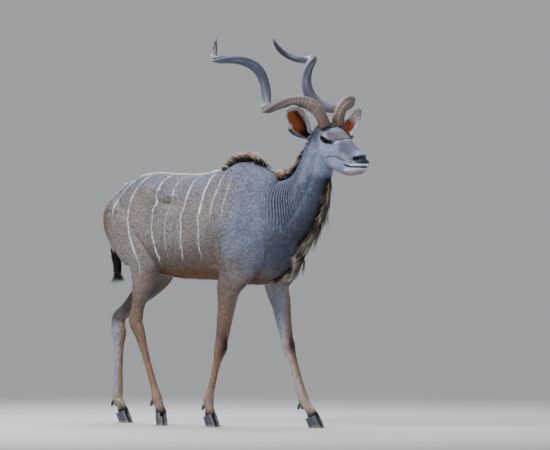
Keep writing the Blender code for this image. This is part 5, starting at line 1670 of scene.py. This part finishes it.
def hornMaterial():
    form = hornFinishForm
    material, tree, shader = freshMaterial("ringedHorn", {"Specular IOR Level": form["specular"]})
    share, ridge = attributeNode(tree, "hornShare"), attributeNode(tree, "ridge")
    around, travel = attributeNode(tree, "around"), attributeNode(tree, "travel")
    coordinates = objectPlace(tree)
    lengthwise = tree.nodes.new("ShaderNodeCombineXYZ")
    tree.links.new(product(tree, travel, form["along"]), lengthwise.inputs[0])
    tree.links.new(product(tree, around, form["around"]), lengthwise.inputs[1])
    streaks = noiseNode(tree, lengthwise.outputs[0], *form["streaks"])
    clouds, fine = (noiseNode(tree, coordinates, *form[key]) for key in ("clouds", "fine"))
    ramp = makeNode(tree, "ShaderNodeValToRGB")
    while len(ramp.color_ramp.elements) < len(form["stops"]):
        ramp.color_ramp.elements.new(0.5)
    for element, (place, colour) in zip(ramp.color_ramp.elements, form["stops"]):
        element.position = place
        element.color = (*linear(*colour), 1)
    uneven = mathNode(tree, "SUBTRACT", clouds, 0.5)
    tree.links.new(mathNode(tree, "MULTIPLY_ADD", uneven, 0.03, share), ramp.inputs[0])
    calm = softStep(tree, share, 0.55, 0.85, 1.0, 0.25)  # smoother towards the tip
    # painted highlight along the keel, weaker towards the tip
    keel = product(tree, softStep(tree, around, 0.14, 0.02, 0.0, 0.3), calm)
    # painted shade in the groove beside the keel
    groove = mathNode(tree, "ABSOLUTE", mathNode(tree, "SUBTRACT", around, form["groove"]))
    light = product(
        tree, softStep(tree, ridge, -0.9, 0.9, 0.66, 1.14),
        mathNode(tree, "MULTIPLY_ADD", softStep(tree, streaks, 0.3, 0.7, -0.42, 0.3), calm, 1.0),
        mathNode(tree, "ADD", keel, 1.0),
        softStep(tree, groove, 0.0, 0.07, 0.62, 1.0),
        softStep(tree, fine, 0.3, 0.7, 0.86, 1.1),
    )
    tree.links.new(scaleColour(tree, ramp.outputs[0], light), shader.inputs["Base Color"])
    tree.links.new(softStep(tree, share, 0.2, 0.8, 0.58, 0.42), shader.inputs["Roughness"])
    grooves = product(tree, mathNode(tree, "ADD", streaks, product(tree, fine, 0.35)), calm)
    addBump(tree, shader, grooves, *form["bump"])
    return material


hornFinish = hornMaterial()
for sideName, side in bothSides:
    horn = makeHorn(f"horn{sideName.capitalize()}", side)
    horn.data.materials.append(hornFinish)
    finishPiece(horn, [f"horn_{sideName}"])
print("horns made")


# Ears: a leaf-shaped cup with a rolled rim
earForm = {
    "poses": {  # root, axis and facing in the head's own axes, and the shift of the root to the left
        "left": ((0.02, 0.084, -0.038), (-0.065, 0.685, 0.725), (0.88, -0.3, 0.06), -0.036),
        "right": ((0.0, -0.066, -0.008), (0.155, -0.726, 0.67), (0.835, -0.23, -0.5), 0.014),
    },
    "length": 0.257, "rows": 80, "columns": 49, "thickness": 0.0032,
    "bend": 0.01, "folds": 0.0016, "roll": 0.004,
    "cup": (  # share, upper half width, upper half angle, lower half width, lower half angle
        (0.0, 0.038, 2.3, 0.044, 2.1), (0.14, 0.054, 2.0, 0.072, 1.75), (0.28, 0.067, 1.65, 0.096, 1.35),
        (0.4, 0.072, 1.45, 0.102, 1.1), (0.47, 0.073, 1.35, 0.08, 1.15), (0.6, 0.07, 1.2, 0.078, 1.1),
        (0.75, 0.06, 1.05, 0.068, 1.0), (0.88, 0.044, 0.9, 0.05, 0.9), (0.96, 0.026, 0.8, 0.03, 0.8),
        (1.0, 0.01, 0.7, 0.012, 0.7),
    ),
}
coatColour.update({
    # the deep ear colour is painted shade inside the ear's cup
    "earInside": linear(178, 90, 46), "earCupShade": linear(46, 18, 12), "earRim": linear(224, 228, 234),
    "earBack": linear(126, 126, 134), "earTip": linear(204, 200, 194), "earBase": linear(96, 100, 114),
    "earLobe": linear(194, 200, 210),
})
plainStripes = (("stripePhase", 0.5), ("stripeGap", 0.1), ("stripeHold", 0.0))


def earTint(side, share, place):
    size, rim = len(share), np.abs(place)
    streak = rib(place + 0.06 - 0.3 * (share - 0.5), 0, 0.17)
    edge = -0.26 if side < 0 else 0.1
    low = ease(0.46, 0.38, share)
    inner = painted(np.tile(coatColour["earInside"], (size, 1)), (
        # painted shade in the trough of the ear's cup and deep at its base
        ("earCupShade", streak * ease(0.86, 0.6, share) * 0.95),
        ("earCupShade", ease(0.26, 0.1, share)),
        ("earLobe", ease(edge, edge - 0.16, place) * ease(0.08, 0.18, share)),
        ("earRim", ease(0.74, 0.88, rim) * ease(0.05, 0.15, share)),
        ("earBase", ease(0.66, 0.76, place) * low),
        ("earRim", ease(0.06, 0.03, np.abs(place - 0.68)) * low),
        ("earTip", ease(0.66, 0.8, share - 0.14 * place * (side < 0))),
    ))
    outer = painted(np.tile(coatColour["earBack"], (size, 1)), (
        ("earBase", ease(0.35, 0.05, share)),
        ("earRim", ease(0.9, 1.0, rim) * 0.7),
        ("earTip", ease(0.88, 0.98, share) * 0.8),
    ))
    return opaque(np.vstack([inner, outer]))


def earFaces(rows, columns):  # inside, outside and the rim between them
    size = rows * columns
    faces = []
    for r in range(rows - 1):
        for c in range(columns - 1):
            corner = (r * columns + c, r * columns + c + 1, (r + 1) * columns + c + 1, (r + 1) * columns + c)
            faces += [corner, tuple(i + size for i in reversed(corner))]
    edge = [r * columns for r in range(rows)] + [(rows - 1) * columns + c for c in range(1, columns)]
    edge += [r * columns + columns - 1 for r in range(rows - 2, -1, -1)] + list(range(columns - 2, 0, -1))
    return faces + [(a, b, b + size, a + size) for a, b in zip(edge, edge[1:] + edge[:1])]


def makeEar(name, side):
    turned = Matrix(headAxes()).transposed()
    root, axis, facing, shift = earForm["poses"]["left" if side > 0 else "right"]
    root, axis, facing = headPoint(*root), turned @ Vector(axis).normalized(), turned @ Vector(facing)
    facing = (facing - facing.dot(axis) * axis).normalized()
    across = axis.cross(facing) * side
    shares, *cup = (np.array(row) for row in zip(*earForm["cup"]))
    rows, columns = earForm["rows"], earForm["columns"]
    grid, spots, outs = [], [], []
    for row in range(rows):
        share = row / (rows - 1)
        upper, upperAngle, lower, lowerAngle = (np.interp(share, shares, line) for line in cup)
        sink = 0.3 * (upper / upperAngle + lower / lowerAngle)
        upper *= 1 - 0.62 * ease(0.1, 0.7, share) * (side > 0)
        bend = -earForm["bend"] * math.sin(math.pi * share)
        centre = root + axis * earForm["length"] * share + facing * (bend - sink)
        centre += headAxes()[1] * shift * ease(0.22, 0.0, share)
        for column in range(columns):
            place = 2 * column / (columns - 1) - 1
            angle, width = (lowerAngle, lower) if place > 0 else (upperAngle, upper)
            turn, radius = angle * place, width / angle
            fold = earForm["folds"] * math.cos(place * 13) * math.sin(math.pi * min(1, share * 1.2))
            fold *= (1 - abs(place)) ** 0.5
            roll = earForm["roll"] * max(0, abs(place) - 0.86) / 0.14
            out = across * math.sin(turn) - facing * math.cos(turn)
            grid.append(centre + out * (radius - roll) + facing * radius + facing * fold)
            spots.append((share, place))
            outs.append(out)
    grid, outs, spots = np.array(grid), np.array(outs), np.array(spots)
    thick = earForm["thickness"] * (1 - 0.55 * np.abs(spots[:, 1]) ** 3) * (1 - 0.5 * spots[:, 0])
    half = outs * thick[:, None] / 2
    points = np.vstack([grid - half, grid + half]) + np.array(frameShift)
    item = meshObject(name, points, earFaces(rows, columns))
    faceOutwards(item)
    tint = earTint(side, *spots.T)
    for key, number in (*plainStripes, ("shade", 0.5), ("tipShare", 0.6), ("wet", 0.0)):
        storeValues(item.data, key, np.full(len(points), number))
    storeValues(item.data, "tint", tint)
    storeValues(item.data, "rootPlace", points)
    smoothly(item.data)
    item.data.materials.append(skinCoat)
    return item, points, spots, axis, outs, tint


def growEarHair(name, item, points, spots, axis, outs, tint):
    # pale fringe along the rims and soft fur over the back and inside
    size = len(spots)
    mesh = item.data
    mesh.calc_loop_triangles()
    corners = np.empty(len(mesh.loop_triangles) * 3, np.int32)
    mesh.loop_triangles.foreach_get("vertices", corners)
    patch = arrayObject(name, points, corners.reshape(-1, 3))
    normals = readNormals(mesh)
    share, place = np.vstack([spots, spots]).T
    inwards = np.concatenate([-outs, outs * 0])
    lie = np.array(axis) + 0.5 * inwards * ease(0.7, 1.0, np.abs(place))[:, None]
    inner = np.arange(2 * size) < size
    rim = ease(0.62, 0.95, np.abs(place)) * inner * ease(0.02, 0.12, share)
    upperRim = ease(-0.4, -0.66, place) * ease(0.72, 0.45, share) * ease(0.05, 0.15, share)
    rim = np.maximum(rim, upperRim * inner)
    drawn = {
        "tint": tint, "lie": alongSkin(lie, normals), "up": normals, "rise": 0.35 * rim,
        "coatLength": 0.006 + 0.018 * rim * ease(1.0, 0.85, share),
        "coatDensity": np.where(inner, 110000 + 150000 * rim, 190000.0),
        **{key: np.full(2 * size, number) for key, number in plainStripes},
    }
    for key, array in drawn.items():
        storeValues(patch.data, key, array)
    flat = np.stack([0.02 + 0.4 * share + 0.5 * ~inner, 0.5 + 0.45 * place, 0 * share], 1)[corners]
    storeValues(patch.data, "unwrap", flat, "CORNER")
    growCoat(patch, "shortFur", shortCoat, {"Lift": 0.08, "Stray": 0.25, "Seed": 77})
    finishPiece(patch)


for sideName, side in bothSides:
    ear, *parts = makeEar(f"ear{sideName.capitalize()}", side)
    growEarHair(f"earFur{sideName.capitalize()}", ear, *parts)
    finishPiece(ear, [f"ear_{sideName}"])
print("ears made")


# Eyes
def eyeMaterial():
    material, tree, shader = freshMaterial("darkEye", {
        "Roughness": 0.12, "IOR": 1.25, "Specular IOR Level": 0.2,
        "Coat Weight": 0.06, "Coat Roughness": 0.04,
    })
    gaze = attributeNode(tree, "gaze", "Vector")
    split = tree.nodes.new("ShaderNodeSeparateXYZ")
    tree.links.new(gaze, split.inputs[0])
    reach = makeNode(tree, "ShaderNodeVectorMath", {"operation": "LENGTH"})
    tree.links.new(gaze, reach.inputs[0])
    iris = softStep(tree, reach.outputs["Value"], 0.62, 0.56)
    squares = []
    for k, stretch in enumerate((2.6, 6.0)):  # the pupil is a level oval
        away = mathNode(tree, "ABSOLUTE", product(tree, split.outputs[k], stretch))
        squares.append(mathNode(tree, "POWER", away, 2.0))
    pupil = mathNode(tree, "ADD", *squares)
    streaks = noiseNode(tree, gaze, 18.0, 4.0)
    brown = mixColour(tree, streaks, (0.006, 0.004, 0.004, 1), (0.022, 0.013, 0.009, 1))
    inner = mixColour(tree, softStep(tree, pupil, 0.75, 1.15), (0.002, 0.002, 0.004, 1), brown)
    whole = mixColour(tree, iris, (0.014, 0.01, 0.009, 1), inner)
    tree.links.new(whole, shader.inputs["Base Color"])
    return material


eyeFinish = eyeMaterial()


def makeEye(name, side):
    axes = headAxes()
    centre = headPoint(eyeShape["along"], side * eyeShape["depth"], eyeShape["up"]) + frameShift
    out = (axes[1] * side * 0.96 + axes[0] * 0.26 + axes[2] * 0.06).normalized()
    across = (axes[0] - axes[0].dot(out) * out).normalized()
    up = out.cross(across) * side
    rings, sides = 40, 64
    points, gaze = [], []
    for ring in range(1, rings):
        polar = math.pi * ring / rings
        radius = eyeShape["radius"] * (1 + 0.035 * rib(polar, 0, 0.55))
        for k in range(sides):
            turn = 2 * math.pi * k / sides
            flat = across * math.cos(turn) + up * math.sin(turn)
            points.append(centre + (out * math.cos(polar) + flat * math.sin(polar)) * radius)
            gaze.append((polar * math.cos(turn), polar * math.sin(turn), 0.0))
    points.append(centre + out * eyeShape["radius"] * 1.035)
    points.append(centre - out * eyeShape["radius"])
    gaze += [(0, 0, 0), (3.0, 0, 0)]
    last = (rings - 2) * sides
    faces = tubeFaces(rings - 1, sides)
    faces += [(k, len(points) - 2, after) for k, after, _ in fanFaces(0, 0, sides)]
    faces += fanFaces(last, len(points) - 1, sides)
    item = meshObject(name, points, faces)
    faceOutwards(item)
    storeValues(item.data, "gaze", np.array(gaze, float))
    smoothly(item.data)
    item.data.materials.append(eyeFinish)
    return item


for sideName, side in bothSides:
    finishPiece(makeEye(f"eye{sideName.capitalize()}", side), [f"eye_{sideName}"])
print("eyes made")


# Hooves and dewclaws
hoofForm = {
    "length": {"fore": 0.086, "hind": 0.08}, "halfWidth": 0.0135, "toeSlope": 0.6, "heelSlope": 0.55,
    "slope": 0.3 / 0.954, "spread": 0.0143, "rings": 26, "outline": 48,
    "innerShare": 0.74, "outerShare": 1.14,
}


hoofColour = {
    "groove": (*linear(38, 40, 48), 1), "ring": (*linear(84, 88, 100), 1),
    "cloud": (*linear(56, 54, 58), 1), "dust": (*linear(142, 130, 118), 1),
}


def hoofMaterial():
    material, tree, shader = freshMaterial("darkHoof")
    coordinates = objectPlace(tree)
    rings = noiseNode(tree, stretched(tree, coordinates, (40, 40, 420)), 1.0, 4.0)
    clouds = noiseNode(tree, coordinates, 60.0, 4.0)
    dust = noiseNode(tree, coordinates, 22.0, 5.0)
    split = tree.nodes.new("ShaderNodeSeparateXYZ")
    tree.links.new(coordinates, split.inputs[0])
    low = softStep(tree, split.outputs[2], 0.022, 0.0)
    base = mixColour(tree, rings, hoofColour["groove"], hoofColour["ring"])
    base = mixColour(tree, softStep(tree, clouds, 0.45, 0.7), base, hoofColour["cloud"])
    base = mixColour(tree, product(tree, low, softStep(tree, dust, 0.35, 0.65)), base, hoofColour["dust"])
    tree.links.new(base, shader.inputs["Base Color"])
    tree.links.new(softStep(tree, clouds, 0.3, 0.7, 0.32, 0.55), shader.inputs["Roughness"])
    addBump(tree, shader, rings, 0.4, 0.0008)
    return material


hoofFinish = hoofMaterial()


def makeClaw(name, leg, kind, side):
    coronet = leg["coronet"]
    rise = hoofForm["slope"]
    length = hoofForm["length"][kind]
    heel = -0.16 * length
    rings, outline = hoofForm["rings"], hoofForm["outline"]
    points = []
    for ring in range(rings + 1):
        share = ring / rings
        for k in range(outline):
            turn = 2 * math.pi * k / outline
            along = 0.5 - 0.5 * math.cos(turn)
            reach = math.sin(turn) * side
            width = hoofForm["halfWidth"] * (1.05 - 0.35 * along**3) * abs(reach) ** 0.75
            width *= hoofForm["innerShare"] if reach < 0 else hoofForm["outerShare"]
            x = heel + length * along
            z = (coronet[2] - 0.022 + (x - 0.02 * along) * rise + 0.006) * share
            edge = 1 - 0.06 * math.exp(-z / 0.002)
            swell = 1 + 0.05 * math.sin(math.pi * min(1, share * 1.1)) + 0.008 * math.cos(share * 38)
            squeeze = (1 - 0.08 * share) * edge * swell
            x = x * (1 - 0.03 * math.exp(-z / 0.002))
            x -= z * (hoofForm["toeSlope"] * along**1.5 + hoofForm["heelSlope"] * (1 - along) ** 1.5)
            y = side * hoofForm["spread"] + math.copysign(width, math.sin(turn)) * squeeze
            points.append(Vector((x, y, z)))
    turned = Matrix.Rotation(leg["heading"], 3, "Z")
    base = Vector((coronet[0], coronet[1], 0)) + frameShift
    points = [turned @ point + base for point in points]
    low, high = sum(points[:outline], Vector()) / outline, sum(points[-outline:], Vector()) / outline
    points += [low, high]
    faces = tubeFaces(rings + 1, outline)
    faces += [(k, len(points) - 2, after) for k, after, _ in fanFaces(0, 0, outline)]
    faces += fanFaces(rings * outline, len(points) - 1, outline)
    item = meshObject(name, points, faces)
    faceOutwards(item)
    smoothly(item.data)
    item.data.materials.append(hoofFinish)
    return item


def makeDewclaws(name, leg):
    fetlock = leg["fetlock"]
    whole = bmesh.new()
    for side in (-1, 1):
        top = (fetlock[0] - 0.02, fetlock[1] + side * 0.013, fetlock[2] - 0.016)
        stations = [
            (top[0], top[1], top[2], 0.008, 0.01, 0.009, 2, 2),
            (top[0] - 0.009, top[1] + side * 0.002, top[2] - 0.018, 0.009, 0.01, 0.008, 2, 2),
            (top[0] - 0.012, top[1] + side * 0.003, top[2] - 0.03, 0.006, 0.007, 0.006, 2, 2),
            (top[0] - 0.0125, top[1] + side * 0.003, top[2] - 0.034, 0.002, 0.003, 0.002, 2, 2),
        ]
        piece = loft(name + "Half", stations, 16, 20)
        piece.data.transform(Matrix.Translation(frameShift))
        whole.from_mesh(piece.data)
    item = meshObject(name, [], [])
    whole.to_mesh(item.data)
    whole.free()
    smoothly(item.data)
    item.data.materials.append(hoofFinish)
    return item


for legName, leg in legForm.items():
    kind = legName[:4]
    for clawName, side in bothSides:
        claw = makeClaw(f"{legName}{clawName.capitalize()}Claw", leg, kind, side)
        finishPiece(claw, [f"{leg['node']}_{clawName}_claw"])
    finishPiece(makeDewclaws(legName + "Dewclaws", leg))
print("hooves made")


# Studio: a pale floor that fades into the backdrop, and soft light
studio = {
    "floorRadius": 7.0, "floorSides": 96, "floor": (0.46, 0.46, 0.46, 1),
    "backdrop": (0.62, 0.64, 0.67), "world": 0.62,
    "key": {"turn": -100, "height": 5.5, "away": 5.5, "size": 3.0, "power": 600, "colour": (0.96, 0.97, 1.0)},
    "fill": {"turn": -10, "height": 3.0, "away": 6.0, "size": 4.0, "power": 70, "colour": (0.85, 0.92, 1.0)},
    "top": {"turn": 120, "height": 6.5, "away": 1.5, "size": 4.0, "power": 420, "colour": (0.93, 0.96, 1.0)},
    "back": {"turn": 150, "height": 3.5, "away": 6.0, "size": 3.0, "power": 200, "colour": (1.0, 1.0, 1.0)},
}


def makeStudio():
    radius = studio["floorRadius"]
    sides = studio["floorSides"]
    turns = [2 * math.pi * k / sides for k in range(sides)]
    points = [(0, 0, 0)] + [(radius * math.cos(turn), radius * math.sin(turn), 0) for turn in turns]
    faces = [(0, k + 1, (k + 1) % sides + 1) for k in range(sides)]
    floor = meshObject("studioFloor", points, faces, bpy.context.scene.collection)
    material, tree, shader = freshMaterial("paleFloor", {"Base Color": studio["floor"], "Roughness": 0.75})
    sky = {"Color": (*studio["backdrop"], 1), "Strength": studio["world"]}
    glow = makeNode(tree, "ShaderNodeEmission", None, sky)
    reach = makeNode(tree, "ShaderNodeVectorMath", {"operation": "LENGTH"})
    tree.links.new(objectPlace(tree), reach.inputs[0])
    mix = tree.nodes.new("ShaderNodeMixShader")
    tree.links.new(softStep(tree, reach.outputs["Value"], 1.2, radius * 0.9), mix.inputs[0])
    tree.links.new(shader.outputs[0], mix.inputs[1])
    tree.links.new(glow.outputs[0], mix.inputs[2])
    output = next(n for n in tree.nodes if n.type == "OUTPUT_MATERIAL")
    tree.links.new(mix.outputs[0], output.inputs[0])
    floor.data.materials.append(material)
    world = bpy.data.worlds.new("studioWorld")
    bpy.context.scene.world = world
    world.use_nodes = True
    setInputs(world.node_tree.nodes["Background"], sky)
    for name in ("key", "fill", "top", "back"):
        lamp = studio[name]
        light = bpy.data.lights.new(name + "Light", "AREA")
        light.size = lamp["size"]
        light.energy = lamp["power"]
        light.color = lamp["colour"]
        item = bpy.data.objects.new(name + "Light", light)
        bpy.context.scene.collection.objects.link(item)
        turn = math.radians(lamp["turn"])
        place = Vector((lamp["away"] * math.cos(turn), lamp["away"] * math.sin(turn), lamp["height"]))
        item.location = place
        item.rotation_euler = (Vector((0, 0, 1.0)) - place).to_track_quat("-Z", "Y").to_euler()


makeStudio()

for item in list(workshop.objects):
    bpy.data.objects.remove(item)
for kind in clumps.values():
    for item in list(kind.objects):
        bpy.data.objects.remove(item)
    bpy.data.collections.remove(kind)
bpy.data.collections.remove(workshop)
